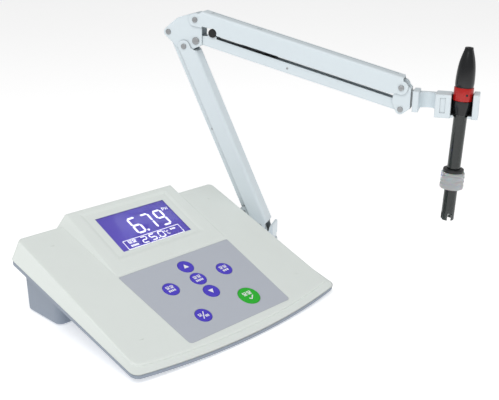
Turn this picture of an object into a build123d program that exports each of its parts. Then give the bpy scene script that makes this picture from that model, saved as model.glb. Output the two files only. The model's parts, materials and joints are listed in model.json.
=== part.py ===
"""Bench pH meter with a two-stage electrode arm and a combination electrode.

Millimetres.  Origin on the table under the middle of the case, +X to the user's right,
+Y to the back of the case, +Z up.
"""
import os
from math import atan2, cos, degrees, radians, sin, tan

from build123d import *

# ---------------------------------------------------------------- case: driving dimensions
PANEL_TILT = 20.17            # slope of the keypad panel
PANEL_Z = 46.03               # height of the panel plane at mid-depth
SEAM_TILT = 15.0              # slope of the joint between the two housings
SEAM_Z = 33.86
BASE_TILT = 14.68             # slope of the underside
BASE_Z = 28.07
PANEL_HALF_WIDTH = 124.45
PANEL_REAR = 88.15
PANEL_FRONT = -86.5
PANEL_BULGE = 10.7            # how far the front edge bows forward
SEAM_HALF_WIDTH = 130.0
SEAM_REAR = 93.7
SEAM_FRONT = -92.5
SEAM_BULGE = 12.1
REAR_CORNER = 5.0
FRONT_CORNER = 8.5
WALL = 2.4
EDGE_STEPS = [(0.0, 1.9), (0.35, 0.8), (0.95, 0.2), (1.9, 0.0)]   # rounding of the panel's edge: inset, drop
SEAM_GAP = 0.3
BAND_INSET = 0.5              # the lower housing sits a little inside the upper one

# rear compartment of the lower housing
BLOCK_HALF_WIDTH = 117.8
BLOCK_FRONT = 35.0
BLOCK_REAR = 92.6
BLOCK_BOTTOM = 1.5
BLOCK_DRAFT = 2.0
BLOCK_CORNER = 8.0
FLOOR_WALL = 2.2

# raised display housing
BEZEL_TILT = 25.1
BEZEL_Z = 45.55               # height of its top plane at mid-depth of the case
BEZEL_FRONT = 7.5
BEZEL_REAR = 91.5
BEZEL_REAR_HALF = 67.0
BEZEL_FRONT_HALF = 70.3
BEZEL_SPREAD = 12.0           # its sides spread at 45 degrees over this depth
BEZEL_DEPTH = 27.0
BEZEL_ROUND = 1.2
DISPLAY_Y = 53.16
DISPLAY_WIDTH = 87.1
DISPLAY_HEIGHT = 50.5
SURROUND_WIDTH = 111.0
SURROUND_HEIGHT = 69.5
SURROUND_SHIFT = 1.5
SURROUND_DEPTH = 1.0
SURROUND_SLOPE = 7.0
PANE_LIP = 3.0
PANE_THICKNESS = 1.2

# keypad
KEYPAD_REAR = 5.46
KEYPAD_FRONT = -89.0
KEYPAD_REAR_HALF = 70.1
KEYPAD_FRONT_HALF = 64.75
KEYPAD_CORNER = 4.0
OVERLAY_THICKNESS = 0.5
OVERLAY_RECESS = 0.6
KEY_RADIUS = 8.34
CONFIRM_RADIUS = 11.25
KEY_GAP = 0.3
KEY_PROUD = 0.25
KEY_DEPTH = 2.7
KEY_FLANGE = 1.2
KEY_FLANGE_THICKNESS = 0.8
DOME_RADIUS = 4.0
DOME_HEIGHT = 0.9
KEY_BOARD_DEPTH = 5.3
KEYS = {
    "up_key": (0, -9.41, KEY_RADIUS),
    "middle_key": (0, -27.8, KEY_RADIUS),
    "down_key": (0, -46.19, KEY_RADIUS),
    "left_key": (-34.4, -27.8, KEY_RADIUS),
    "right_key": (34.4, -27.8, KEY_RADIUS),
    "power_key": (-29.64, -67.25, KEY_RADIUS),
    "confirm_key": (29.64, -67.25, CONFIRM_RADIUS),
}

# electronics and rear connectors
BOARD_THICKNESS = 1.6
MAIN_BOARD_Z = 12.0
MAIN_BOARD_HALF = 93.0
MAIN_BOARD_FRONT = 46.0
MAIN_BOARD_REAR = 84.0
CONNECTOR_Z = 27.0
BNC_X = 72.0
REFERENCE_X = 42.0
TEMPERATURE_X = 12.0
JACK_X = -30.0
SWITCH_X = -75.0

# fasteners and feet
CASE_SCREW_X = 100.0
REAR_SCREW_Y = 70.0
FRONT_SCREW_Y = -62.0
FOOT_RADIUS = 6.5
REAR_FOOT_Y = 58.0
FRONT_FOOT_Y = -80.0
FOOT_X = 88.0

# ---------------------------------------------------------------- arm: driving dimensions
SWIVEL_X = 157.1
SWIVEL_Y = 28.6
ARM_HEADING = -62.5           # where the arm points, seen from above
OUTER_HALF = 10.5             # half widths of the three nested layers of the arm
OUTER_WALL = 1.6
BRACKET_HALF = 8.6
BRACKET_WALL = 1.7
INNER_HALF = 6.6
INNER_WALL = 1.4
BASE_PIVOT = (-7.3, 36.1)     # (reach, height) from the swivel axis
LOWER_LENGTH = 215.0
LOWER_ANGLE = 113.86          # from the horizontal, so it leans back
PAIR_OFFSET = (-18.2, 14.6)   # second pivot of the lower pair, from the first
ELBOW_TO_UPPER = (13.2, 28.8)
UPPER_PAIR = 22.5             # the upper pair is one above the other
UPPER_LENGTH = 229.5
UPPER_ANGLE = -14.79
PIN_RADIUS = 1.6
BIG_PIN_RADIUS = 2.4
RUNNING = 0.05
OPEN_PIVOT = 0.3              # slack at the pivot that closes each parallelogram
HEAD_RADIUS = 2.9
BIG_HEAD_RADIUS = 3.9
HEAD_HEIGHT = 1.2
UPPER_TOP = 10.7              # outer face of the upper channel above its pivot line
UPPER_BOTTOM = -9.3
CHANNEL_ROUND = 3.0
LOWER_WEB = -10.7
LOWER_OPEN = 6.2
LINK_TOP = 8.2
LINK_BOTTOM = -2.4
LINK_ROUND = 1.0
ROLLER = (16.0, 13.4)
ROLLER_RADIUS = 4.6
WIRE_RADIUS = 0.7
EYE_HALF = 0.6
COIL_PITCH = 2.4
ANCHOR_RADIUS = 1.2
UPPER_SPRING_V = 2.6
UPPER_ANCHOR = 104.0
LOWER_SPRING_V = -2.5
LOWER_ANCHOR = 100.0
SWIVEL_RADIUS = 4.0
TURRET_BOTTOM = 20.0
TURRET_FLOOR = 27.0
TURRET_TOE_TOP = 39.0
LOWER_TRAVEL = 45.0           # degrees the lower stage tips forward; the toe is cut clear of it
BEARING_TOP = 25.5            # the swivel pin's cap lies in a recess above this
SWIVEL_CAP = 6.0

# electrode clip: reach from the swivel axis, and height
CLIP_BLOCKS = [(152.6, 158.9, 179.0, 200.4), (175.3, 191.2, 175.2, 199.0), (212.2, 218.3, 175.4, 200.4)]
SPARE_CLIP = (167.1, 8.2, 181.5, 197.5)        # reach, radius, bottom, top
ELECTRODE_CLIP = (201.7, 10.5, 177.5, 198.0)
CLIP_CENTRE = -2.5                             # across the arm
CLIP_REAR = 10.9
SHELF_RADIUS = 7.3

# electrode: heights are measured down its own axis from the top of the boot
ELECTRODE_TOP = (203.8, 246.3)
ELECTRODE_LEAN = 2.22
SHAFT_RADIUS = 6.8
SHAFT_BORE = 5.4
COLLAR_START = 39.8
COLLAR_END = 53.2
COLLAR_RADIUS = 9.85
CAP_END = 67.6
SHAFT_END = 173.0
ELECTRODE_END = 180.8
RING_START = 128.5
RING_END = 145.8
RING_RADIUS = 12.2
SEAL_START = 124.6
SEAL_RADIUS = 10.7


# ---------------------------------------------------------------- helpers
def tilted(height, tilt):
    """Plane that rises towards the back of the case."""
    return Plane(origin=(0, 0, height), x_dir=(1, 0, 0), z_dir=(0, -sin(radians(tilt)), cos(radians(tilt))))


def height_on(height, tilt, y):
    return height + y * tan(radians(tilt))


PANEL = tilted(PANEL_Z, PANEL_TILT)
BEZEL = tilted(BEZEL_Z, BEZEL_TILT)


def along(tilt, y):
    """Depth measured along a slope, for a depth measured on the table."""
    return y / cos(radians(tilt))


def rounded_quad(front_half, rear_half, front, rear, front_round=0, rear_round=0):
    face = make_face(Polyline((-front_half, front), (-rear_half, rear), (rear_half, rear), (front_half, front),
                              close=True))
    if rear_round:
        face = fillet(face.vertices().group_by(Axis.Y)[-1], rear_round)
    if front_round:
        face = fillet(face.vertices().group_by(Axis.Y)[0], front_round)
    return face


def case_outline(tilt, half_width, rear, front, bulge):
    """Plan of the case on a slope: straight back and sides, bowed front, rounded corners."""
    back = along(tilt, rear)
    fore = along(tilt, front)
    sides = Polyline((-half_width, fore), (-half_width, back), (half_width, back), (half_width, fore))
    bow = ThreePointArc((half_width, fore), (0, along(tilt, front - bulge)), (-half_width, fore))
    face = make_face([sides, bow])
    face = fillet(face.vertices().group_by(Axis.Y)[-1], REAR_CORNER)
    return fillet(face.vertices().group_by(Axis.Y)[0], FRONT_CORNER)


def panel_level(inset, drop):
    """Outline of the case at the panel, or a little inside and below it."""
    face = case_outline(PANEL_TILT, PANEL_HALF_WIDTH - inset, PANEL_REAR - inset, PANEL_FRONT + inset,
                        PANEL_BULGE)
    return PANEL * Pos(0, 0, -drop) * face


def seam_level(inset, height, tilt):
    """Outline of the case at the joint between the housings, at some height and slope."""
    face = case_outline(tilt, SEAM_HALF_WIDTH - inset, SEAM_REAR - inset, SEAM_FRONT + inset, SEAM_BULGE)
    return tilted(height, tilt) * face


def bezel_level(inset, spread, depth):
    """Outline of the display housing at a depth below its top, its back kept upright."""
    fore = along(BEZEL_TILT, BEZEL_FRONT + inset) - depth * tan(radians(BEZEL_TILT))
    back = along(BEZEL_TILT, BEZEL_REAR - inset) - depth * tan(radians(BEZEL_TILT))
    face = rounded_quad(BEZEL_FRONT_HALF - inset + spread, BEZEL_REAR_HALF - inset + spread, fore, back)
    return BEZEL * Pos(0, 0, -depth) * face


def bezel_block(inset):
    """Raised display housing: flat top with an eased edge, sides that spread at 45 degrees."""
    levels = [bezel_level(inset, BEZEL_SPREAD, BEZEL_DEPTH),
              bezel_level(inset, BEZEL_SPREAD, BEZEL_SPREAD + inset)]
    if inset:
        levels.append(bezel_level(inset, 0, inset))
    else:
        levels.append(bezel_level(0, BEZEL_ROUND, BEZEL_ROUND))
        levels.append(bezel_level(BEZEL_ROUND * 0.3, BEZEL_ROUND * 0.55, BEZEL_ROUND * 0.3))
        levels.append(bezel_level(BEZEL_ROUND, BEZEL_ROUND * 0.3, 0))
    return loft(levels, ruled=True)


def half_space(height, tilt, above):
    """Big block above or below a sloping plane, for trimming."""
    size = 400
    lift = size / 2 if above else -size / 2
    return tilted(height, tilt) * Pos(0, 0, lift) * Box(size, size, size)


def cylinder_z(radius, low, high, x=0, y=0):
    return Pos(x, y, (low + high) / 2) * Cylinder(radius, high - low)


def cylinder_y(radius, low, high, x=0, z=0):
    return Pos(x, (low + high) / 2, z) * Rot(90, 0, 0) * Cylinder(radius, high - low)


def cylinder_x(radius, low, high, y=0, z=0):
    return Pos((low + high) / 2, y, z) * Rot(0, 90, 0) * Cylinder(radius, high - low)


def block(low, high):
    """Box from its lowest to its highest corner."""
    size = [b - a for a, b in zip(low, high)]
    centre = [(a + b) / 2 for a, b in zip(low, high)]
    return Pos(*centre) * Box(*size)


def slab(outline, low, high):
    """Plate with a side-view outline, between two places across the arm."""
    return Pos(0, high, 0) * extrude(Plane.XZ * outline, high - low)


def two_cheeks(outline, half, wall):
    return slab(outline, -half, half) - slab(outline, -(half - wall), half - wall)


def polygon(*points):
    return make_face(Polyline(*points, close=True))


def group(*solids):
    return Compound(children=[piece for piece in solids])


def put_arm(shape):
    """From the arm's own frame, reach along X, to its place beside the case."""
    return Pos(SWIVEL_X, SWIVEL_Y, 0) * Rot(0, 0, ARM_HEADING) * shape


def put_at(shape, pivot, angle):
    """Turn a piece drawn along X up to its angle, and move it to its pivot."""
    return Pos(pivot[0], 0, pivot[1]) * Rot(0, -angle, 0) * shape


def offset_from(pivot, shift):
    return (pivot[0] + shift[0], pivot[1] + shift[1])


def reach_from(pivot, length, angle):
    return (pivot[0] + length * cos(radians(angle)), pivot[1] + length * sin(radians(angle)))


BASE_PIVOT_2 = offset_from(BASE_PIVOT, PAIR_OFFSET)
ELBOW = reach_from(BASE_PIVOT, LOWER_LENGTH, LOWER_ANGLE)
ELBOW_2 = offset_from(ELBOW, PAIR_OFFSET)
UPPER_PIVOT = offset_from(ELBOW, ELBOW_TO_UPPER)
UPPER_PIVOT_2 = offset_from(UPPER_PIVOT, (0, -UPPER_PAIR))
HEAD_PIVOT = reach_from(UPPER_PIVOT, UPPER_LENGTH, UPPER_ANGLE)
HEAD_PIVOT_2 = offset_from(HEAD_PIVOT, (0, -UPPER_PAIR))


# ---------------------------------------------------------------- case pieces
def lower_block(inset):
    """Deep rear compartment, with draft and rounded upright corners."""
    def level(z, shrink):
        half = BLOCK_HALF_WIDTH - inset - shrink
        front = BLOCK_FRONT + inset + 2 * shrink
        rear = BLOCK_REAR - inset
        return Pos(0, 0, z) * rounded_quad(half, half, front, rear, BLOCK_CORNER - inset, 4 - inset)
    return loft([level(BLOCK_BOTTOM + inset, BLOCK_DRAFT), level(60, 0)], ruled=True)


def outer_lower():
    """Outside of the lower housing: shallow sloping tray plus the rear compartment."""
    tray = loft([seam_level(BAND_INSET + 1.6, BASE_Z, BASE_TILT),
                 seam_level(BAND_INSET, BASE_Z + 1.4, BASE_TILT),
                 seam_level(BAND_INSET, SEAM_Z - SEAM_GAP, SEAM_TILT)], ruled=True)
    rear = lower_block(0)
    rear = fillet(rear.faces().sort_by(Axis.Z)[0].edges(), 2.5)
    return tray + (rear - half_space(SEAM_Z - SEAM_GAP, SEAM_TILT, True))


def inner_lower():
    """Hollow of the lower housing."""
    inset = BAND_INSET + FLOOR_WALL
    tray = loft([seam_level(inset, BASE_Z + FLOOR_WALL, BASE_TILT), seam_level(inset, SEAM_Z + 1, SEAM_TILT)],
                ruled=True)
    return tray + lower_block(FLOOR_WALL)


SCREWS = [(side * CASE_SCREW_X, y) for side in (-1, 1) for y in (REAR_SCREW_Y, FRONT_SCREW_Y)]
SCREW_SEAT = {REAR_SCREW_Y: 35.5, FRONT_SCREW_Y: 14.0}        # where each screw head bears
SCREW_REACH = {REAR_SCREW_Y: 7.5, FRONT_SCREW_Y: 3.4}         # how far it goes above the seam
FEET = [(side * FOOT_X, y) for side in (-1, 1) for y in (REAR_FOOT_Y, FRONT_FOOT_Y)]
MAIN_BOARD_POSTS = [(side * 88, y) for side in (-1, 1) for y in (50, 80)]


def upper_housing():
    outer = loft([seam_level(0, SEAM_Z, SEAM_TILT)] + [panel_level(*step) for step in EDGE_STEPS], ruled=True)
    bezel = bezel_block(0) - half_space(SEAM_Z + 6, SEAM_TILT, False)
    inner = loft([seam_level(WALL, SEAM_Z - 1, SEAM_TILT), panel_level(WALL, WALL)], ruled=True)
    shell = (outer + bezel) - inner - (bezel_block(WALL) - half_space(SEAM_Z + 6, SEAM_TILT, False))
    for x, y in SCREWS:
        top = height_on(PANEL_Z, PANEL_TILT, y) - 1
        foot = height_on(SEAM_Z, SEAM_TILT, y) + 0.3
        shell += cylinder_z(4, foot, top, x, y)
        shell -= cylinder_z(1.4, foot - 1, min(foot + 9, top - 1), x, y)
    shell -= display_cutout() + keypad_recess()
    for x, y, radius in KEYS.values():
        shell -= PANEL * Pos(x, along(PANEL_TILT, y), 0) * Cylinder(radius + KEY_GAP, 12)
    return shell


def display_cutout():
    """Dished surround, window opening and the rebate that the pane is glued into."""
    middle = along(BEZEL_TILT, DISPLAY_Y)
    rim = Pos(0, middle + SURROUND_SHIFT, 0) * Rectangle(SURROUND_WIDTH, SURROUND_HEIGHT)
    bottom = Pos(0, middle + SURROUND_SHIFT, -SURROUND_DEPTH) * Rectangle(SURROUND_WIDTH - SURROUND_SLOPE,
                                                                         SURROUND_HEIGHT - SURROUND_SLOPE)
    surround = loft([bottom, rim], ruled=True)
    opening = Pos(0, middle, 0) * Box(DISPLAY_WIDTH, DISPLAY_HEIGHT, 12)
    return BEZEL * (surround + opening)


def keypad_outline(shrink):
    front = along(PANEL_TILT, KEYPAD_FRONT) + shrink
    rear = along(PANEL_TILT, KEYPAD_REAR) - shrink
    return rounded_quad(KEYPAD_FRONT_HALF - shrink, KEYPAD_REAR_HALF - shrink, front, rear, KEYPAD_CORNER, 1.5)


def keypad_recess():
    return PANEL * Pos(0, 0, -OVERLAY_RECESS) * extrude(keypad_outline(0), OVERLAY_RECESS + 3)


def keypad_overlay():
    sheet = PANEL * Pos(0, 0, -OVERLAY_RECESS) * extrude(keypad_outline(0.15), OVERLAY_THICKNESS)
    for x, y, radius in KEYS.values():
        sheet -= PANEL * Pos(x, along(PANEL_TILT, y), 0) * Cylinder(radius + KEY_GAP, 6)
    return sheet


def key(name):
    """Round key cap with a flange under the panel that keeps it in its hole."""
    x, y, radius = KEYS[name]
    top = KEY_PROUD - OVERLAY_RECESS + OVERLAY_THICKNESS
    cap = Pos(0, 0, (top - KEY_DEPTH) / 2) * Cylinder(radius, top + KEY_DEPTH)
    cap = fillet(cap.edges().sort_by(Axis.Z)[-1], 0.5)
    flange = Cylinder(radius + KEY_FLANGE, KEY_FLANGE_THICKNESS)
    flange = Pos(0, 0, -KEY_DEPTH - KEY_FLANGE_THICKNESS / 2) * flange
    return PANEL * Pos(x, along(PANEL_TILT, y), 0) * (cap + flange)


def key_board():
    board = rounded_quad(50, 52, along(PANEL_TILT, -79.5), along(PANEL_TILT, 2), 2, 2)
    sheet = PANEL * Pos(0, 0, -KEY_BOARD_DEPTH - 1.2) * extrude(board, 1.2)
    return sheet


def snap_domes():
    domes = []
    for x, y, radius in KEYS.values():
        dome = Pos(0, 0, DOME_HEIGHT / 2) * Cylinder(DOME_RADIUS, DOME_HEIGHT)
        dome = fillet(dome.edges().sort_by(Axis.Z)[-1], 0.7)
        domes.append(PANEL * Pos(x, along(PANEL_TILT, y), -KEY_BOARD_DEPTH) * dome)
    return group(*domes)


def under_display(width, height, top, bottom):
    """Flat layer below the bezel plane, centred on the window."""
    middle = along(BEZEL_TILT, DISPLAY_Y)
    return BEZEL * Pos(0, middle, -(top + bottom) / 2) * Box(width, height, bottom - top)


def display_window():
    """Clear pane: a step on its front face fills the opening."""
    pane = under_display(DISPLAY_WIDTH + 2 * PANE_LIP, DISPLAY_HEIGHT + 2 * PANE_LIP, WALL + 0.05,
                         WALL + PANE_THICKNESS)
    step = under_display(DISPLAY_WIDTH - 0.2, DISPLAY_HEIGHT - 0.2, SURROUND_DEPTH + 0.4, WALL + PANE_THICKNESS)
    return pane + step


def lcd_stack():
    """Glass, light guide and the tray that holds both under the window."""
    top = WALL + PANE_THICKNESS + 0.1
    glass = under_display(DISPLAY_WIDTH + 4, DISPLAY_HEIGHT + 4, top, top + 2.0)
    guide = under_display(DISPLAY_WIDTH + 4, DISPLAY_HEIGHT + 4, top + 2.1, top + 5.0)
    tray = under_display(DISPLAY_WIDTH + 8, DISPLAY_HEIGHT + 8, top, top + 6.4)
    tray -= under_display(DISPLAY_WIDTH + 4.2, DISPLAY_HEIGHT + 4.2, top - 1, top + 5.1)
    return glass, guide, tray


def lower_housing():
    shell = outer_lower() - (inner_lower() - screw_towers(5.0))
    shell -= screw_towers(1.7, True)
    for x, y in MAIN_BOARD_POSTS:
        shell += cylinder_z(3.2, BLOCK_BOTTOM + 1, MAIN_BOARD_Z, x, y)
        shell -= cylinder_z(1.1, BLOCK_BOTTOM + 3, MAIN_BOARD_Z + 1, x, y)
    for x, y in FEET:
        shell -= foot_shape(x, y, FOOT_RADIUS + 0.1)
    shell -= connector_holes()
    shell -= mount_screw_holes()
    return shell


def screw_towers(radius, bore=False):
    """Solid towers up to the seam, or the stepped holes down their middles."""
    pieces = []
    for x, y in SCREWS:
        top = height_on(SEAM_Z, SEAM_TILT, y) - 0.3
        if bore:
            pieces.append(cylinder_z(radius, SCREW_SEAT[y] - 1, top + 4, x, y))
            pieces.append(cylinder_z(3.4, -1, SCREW_SEAT[y], x, y))
        else:
            tower = cylinder_z(radius, -5, top, x, y) - half_space(SEAM_Z - SEAM_GAP, SEAM_TILT, True)
            pieces.append(tower)
    return Part() + pieces


def foot_shape(x, y, radius):
    if y > 0:
        return cylinder_z(radius, 0, BLOCK_BOTTOM + 1.0, x, y)
    return cylinder_z(radius, 0, 30, x, y) - half_space(BASE_Z + 0.9, BASE_TILT, True)


def feet(y_wanted):
    return group(*[fillet_foot(foot_shape(x, y, FOOT_RADIUS)) for x, y in FEET if y == y_wanted])


def fillet_foot(foot):
    return fillet(foot.faces().sort_by(Axis.Z)[0].edges(), 0.8)


def case_screws():
    """Pan-head screws from below, up into the upper housing's bosses."""
    screws = []
    for x, y in SCREWS:
        ledge = SCREW_SEAT[y]
        tip = height_on(SEAM_Z, SEAM_TILT, y) + SCREW_REACH[y]
        head = cylinder_z(2.9, ledge - 1.9, ledge, x, y)
        head -= block((x - 2, y - 0.35, ledge - 3), (x + 2, y + 0.35, ledge - 1.2))
        head -= block((x - 0.35, y - 2, ledge - 3), (x + 0.35, y + 2, ledge - 1.2))
        screws.append(head + cylinder_z(1.4, ledge, tip, x, y))
    return group(*screws)


# ---------------------------------------------------------------- electronics
def main_board():
    board = block((-MAIN_BOARD_HALF, MAIN_BOARD_FRONT, MAIN_BOARD_Z),
                  (MAIN_BOARD_HALF, MAIN_BOARD_REAR, MAIN_BOARD_Z + BOARD_THICKNESS))
    for x, y in MAIN_BOARD_POSTS:
        board -= cylinder_z(1.3, 0, 30, x, y)
    return board


def board_screws():
    top = MAIN_BOARD_Z + BOARD_THICKNESS
    screws = [cylinder_z(1.1, MAIN_BOARD_Z - 6, top, x, y) + cylinder_z(2.3, top, top + 1.6, x, y)
              for x, y in MAIN_BOARD_POSTS]
    return group(*screws)


def board_parts():
    """Processor, amplifier, relay, regulator and two capacitors on the main board."""
    top = MAIN_BOARD_Z + BOARD_THICKNESS
    chips = [block((-20, 58, top), (-4, 74, top + 1.8)), block((40, 56, top), (50, 62, top + 1.6)),
             block((58, 56, top), (72, 64, top + 8)), block((-62, 54, top), (-46, 70, top + 12))]
    cans = [cylinder_z(4, top, top + 11, -36, 58), cylinder_z(4, top, top + 11, -36, 72)]
    return group(*chips, *cans)


def flat_cable():
    """Thin ribbon from the key board back and down to the main board."""
    width = 7
    half = 0.2
    path = [(-4, 37.0), (16, 41.2), (34, 43.2), (40, 41), (45, 32), (50, MAIN_BOARD_Z + BOARD_THICKNESS + half)]
    upper = [(y + half, z + half) for y, z in path]
    lower = [(y - half, z - half) for y, z in reversed(path)]
    strip = extrude(Plane.YZ * polygon(*upper, *lower), width, both=True)
    return Pos(12, 0, 0) * strip


# ---------------------------------------------------------------- rear connectors
def connector_holes():
    holes = [cylinder_y(5.1, 80, 100, BNC_X, CONNECTOR_Z), cylinder_y(3.1, 80, 100, REFERENCE_X, CONNECTOR_Z),
             cylinder_y(4.6, 80, 100, TEMPERATURE_X, CONNECTOR_Z),
             cylinder_y(5.6, 80, 100, JACK_X, CONNECTOR_Z),
             block((SWITCH_X - 9.6, 80, CONNECTOR_Z - 6.6), (SWITCH_X + 9.6, 100, CONNECTOR_Z + 6.6))]
    return Part() + holes


def bnc_socket():
    """Bayonet socket for the electrode lead: flange, barrel with two lugs, inner contact."""
    face = BLOCK_REAR
    body = cylinder_y(5.0, face - 9, face + 0.1, BNC_X, CONNECTOR_Z)
    flange = cylinder_y(7.2, face, face + 1.6, BNC_X, CONNECTOR_Z)
    barrel = cylinder_y(4.83, face + 1.6, face + 12, BNC_X, CONNECTOR_Z)
    barrel -= cylinder_y(4.1, face + 3, face + 13, BNC_X, CONNECTOR_Z)
    sleeve = cylinder_y(2.4, face + 2, face + 10, BNC_X, CONNECTOR_Z)
    sleeve -= cylinder_y(0.7, face + 5, face + 11, BNC_X, CONNECTOR_Z)
    lugs = cylinder_z(0.9, CONNECTOR_Z - 5.7, CONNECTOR_Z - 4.5, BNC_X, face + 8)
    lugs += cylinder_z(0.9, CONNECTOR_Z + 4.5, CONNECTOR_Z + 5.7, BNC_X, face + 8)
    return body + flange + barrel + sleeve + lugs


def reference_post():
    """Threaded post for a separate reference electrode."""
    face = BLOCK_REAR
    post = cylinder_y(3.0, face - 9, face + 0.1, REFERENCE_X, CONNECTOR_Z)
    post += cylinder_y(5.6, face, face + 2.5, REFERENCE_X, CONNECTOR_Z)
    return post + cylinder_y(2.0, face + 2.5, face + 14, REFERENCE_X, CONNECTOR_Z)


def reference_cap():
    """Knurled cap that clamps a spade terminal on the post."""
    face = BLOCK_REAR
    cap = cylinder_y(5.2, face + 4.5, face + 15.5, REFERENCE_X, CONNECTOR_Z)
    cap -= cylinder_y(2.05, face + 4, face + 14.5, REFERENCE_X, CONNECTOR_Z)
    for index in range(12):
        turn = radians(index * 30)
        x = REFERENCE_X + 5.4 * cos(turn)
        z = CONNECTOR_Z + 5.4 * sin(turn)
        cap -= cylinder_y(0.6, face + 5.5, face + 14.5, x, z)
    return cap


def temperature_socket():
    face = BLOCK_REAR
    socket = cylinder_y(4.5, face - 14, face + 0.1, TEMPERATURE_X, CONNECTOR_Z)
    socket += cylinder_y(6.4, face, face + 2.2, TEMPERATURE_X, CONNECTOR_Z)
    return socket - cylinder_y(3.2, face - 12, face + 3, TEMPERATURE_X, CONNECTOR_Z)


def power_jack():
    face = BLOCK_REAR
    jack = cylinder_y(5.5, face - 12, face + 0.1, JACK_X, CONNECTOR_Z)
    jack += cylinder_y(7.0, face, face + 1.4, JACK_X, CONNECTOR_Z)
    jack -= cylinder_y(2.8, face - 10, face + 3, JACK_X, CONNECTOR_Z)
    return jack + cylinder_y(1.0, face - 11, face - 1, JACK_X, CONNECTOR_Z)


ROCKER_Y = BLOCK_REAR - 2.0
ROCKER_RADIUS = 7.9
ROCKER_TILT = 8.0
TRUNNION_RADIUS = 1.2


def switch_frame():
    """Snap-in frame of the power switch, open at the back for the rocker."""
    face = BLOCK_REAR
    frame = block((SWITCH_X - 9.5, face - 13, CONNECTOR_Z - 6.5),
                  (SWITCH_X + 9.5, face + 0.1, CONNECTOR_Z + 6.5))
    frame += block((SWITCH_X - 11, face, CONNECTOR_Z - 8), (SWITCH_X + 11, face + 1.6, CONNECTOR_Z + 8))
    frame -= block((SWITCH_X - 8.2, face - 11.5, CONNECTOR_Z - 5.2),
                   (SWITCH_X + 8.2, face + 3, CONNECTOR_Z + 5.2))
    socket = cylinder_z(TRUNNION_RADIUS + RUNNING, CONNECTOR_Z - 6.1, CONNECTOR_Z + 6.1, SWITCH_X, ROCKER_Y)
    return frame - socket


def power_rocker():
    """Rocker that tips about two stubs in the frame; its two flats meet in a shallow V."""
    rise = 9 * tan(radians(ROCKER_TILT))
    profile = polygon((-9, -5), (-9, 2.4 + rise), (0, 2.4), (9, 2.4 + rise), (9, -5))
    profile = profile & Circle(ROCKER_RADIUS)
    body = extrude(profile, 4.9, both=True) + cylinder_z(TRUNNION_RADIUS, -5.9, 5.9)
    return Pos(SWITCH_X, ROCKER_Y, CONNECTOR_Z) * Rot(0, 0, ROCKER_TILT) * body


# ---------------------------------------------------------------- arm mount
def arm_mount():
    """Foot bolted to the side of the rear compartment, reaching out to the swivel axis."""
    plate = block((112, 44, 8), (122.5, 86, 34))
    plate = plate - lower_block(0)
    arm = extrude(polygon((118, 46), (SWIVEL_X - 8, SWIVEL_Y - 9), (SWIVEL_X + 4, SWIVEL_Y - 9),
                          (SWIVEL_X + 4, SWIVEL_Y + 9), (124, 78), (118, 78)), 7)
    arm = Pos(0, 0, 10) * arm - lower_block(0)
    boss = cylinder_z(11, 8, TURRET_BOTTOM - 0.3, SWIVEL_X, SWIVEL_Y)
    mount = plate + arm + boss
    mount -= cylinder_z(SWIVEL_RADIUS, 0, 40, SWIVEL_X, SWIVEL_Y)
    return mount - mount_screw_holes()


MOUNT_SCREWS = [52, 66, 80]
MOUNT_SCREW_Z = 28.0


def mount_screw_holes():
    return Part() + [cylinder_x(1.8, 108, 130, y, MOUNT_SCREW_Z) for y in MOUNT_SCREWS]


def mount_screws():
    screws = []
    for y in MOUNT_SCREWS:
        head = cylinder_x(3.4, 122.5, 124.8, y, MOUNT_SCREW_Z) - cylinder_x(1.6, 123.6, 126, y, MOUNT_SCREW_Z)
        screws.append(head + cylinder_x(1.8, 110, 122.5, y, MOUNT_SCREW_Z))
    return group(*screws)


def swivel_pin():
    """Upright pin pressed into the mount, with a broad cap that keeps the turret on."""
    pin = cylinder_z(SWIVEL_RADIUS, 8.4, BEARING_TOP + 0.2)
    cap = cylinder_z(SWIVEL_CAP, BEARING_TOP + 0.2, BEARING_TOP + 2.0)
    return put_arm(pin + cap)


# ---------------------------------------------------------------- arm pieces
def turret():
    """Swivelling base: bored floor with a rounded toe, and two cheeks for the pivots."""
    bx, bz = BASE_PIVOT
    bx2, bz2 = BASE_PIVOT_2
    floor = block((-33, -OUTER_HALF, TURRET_BOTTOM), (8.5, OUTER_HALF, TURRET_FLOOR))
    floor = fillet(floor.edges().filter_by(Axis.Z), 4)
    toe = block((3.2, -OUTER_HALF, TURRET_BOTTOM + 4), (8.5, OUTER_HALF, TURRET_TOE_TOP))
    toe = fillet(toe.edges().filter_by(Axis.Y).group_by(Axis.Z)[-1].sort_by(Axis.X)[-1], 2.0)
    toe -= cylinder_y(11.8, -20, 20, bx, bz) - block((-30, -20, 0), (30, 20, TURRET_FLOOR))
    lowered = LOWER_ANGLE - LOWER_TRAVEL
    toe -= put_at(block((0, -20, LOWER_WEB - 0.6), (40, 20, 20)), BASE_PIVOT, lowered)
    cheek = make_hull((Pos(bx, bz) * Circle(7)).edges() + (Pos(bx2, bz2) * Circle(6)).edges()
                      + (Pos(-27, 25) * Circle(4)).edges() + (Pos(1, 25) * Circle(3)).edges())
    body = floor + toe + two_cheeks(cheek, BRACKET_HALF, BRACKET_WALL)
    body -= cylinder_z(SWIVEL_RADIUS + RUNNING, 0, 60)
    body -= cylinder_z(SWIVEL_CAP + 0.4, BEARING_TOP, BEARING_TOP + 4)
    body -= cylinder_y(PIN_RADIUS, -20, 20, bx, bz)
    body -= cylinder_y(PIN_RADIUS, -20, 20, bx2, bz2)
    return put_arm(body)


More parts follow.
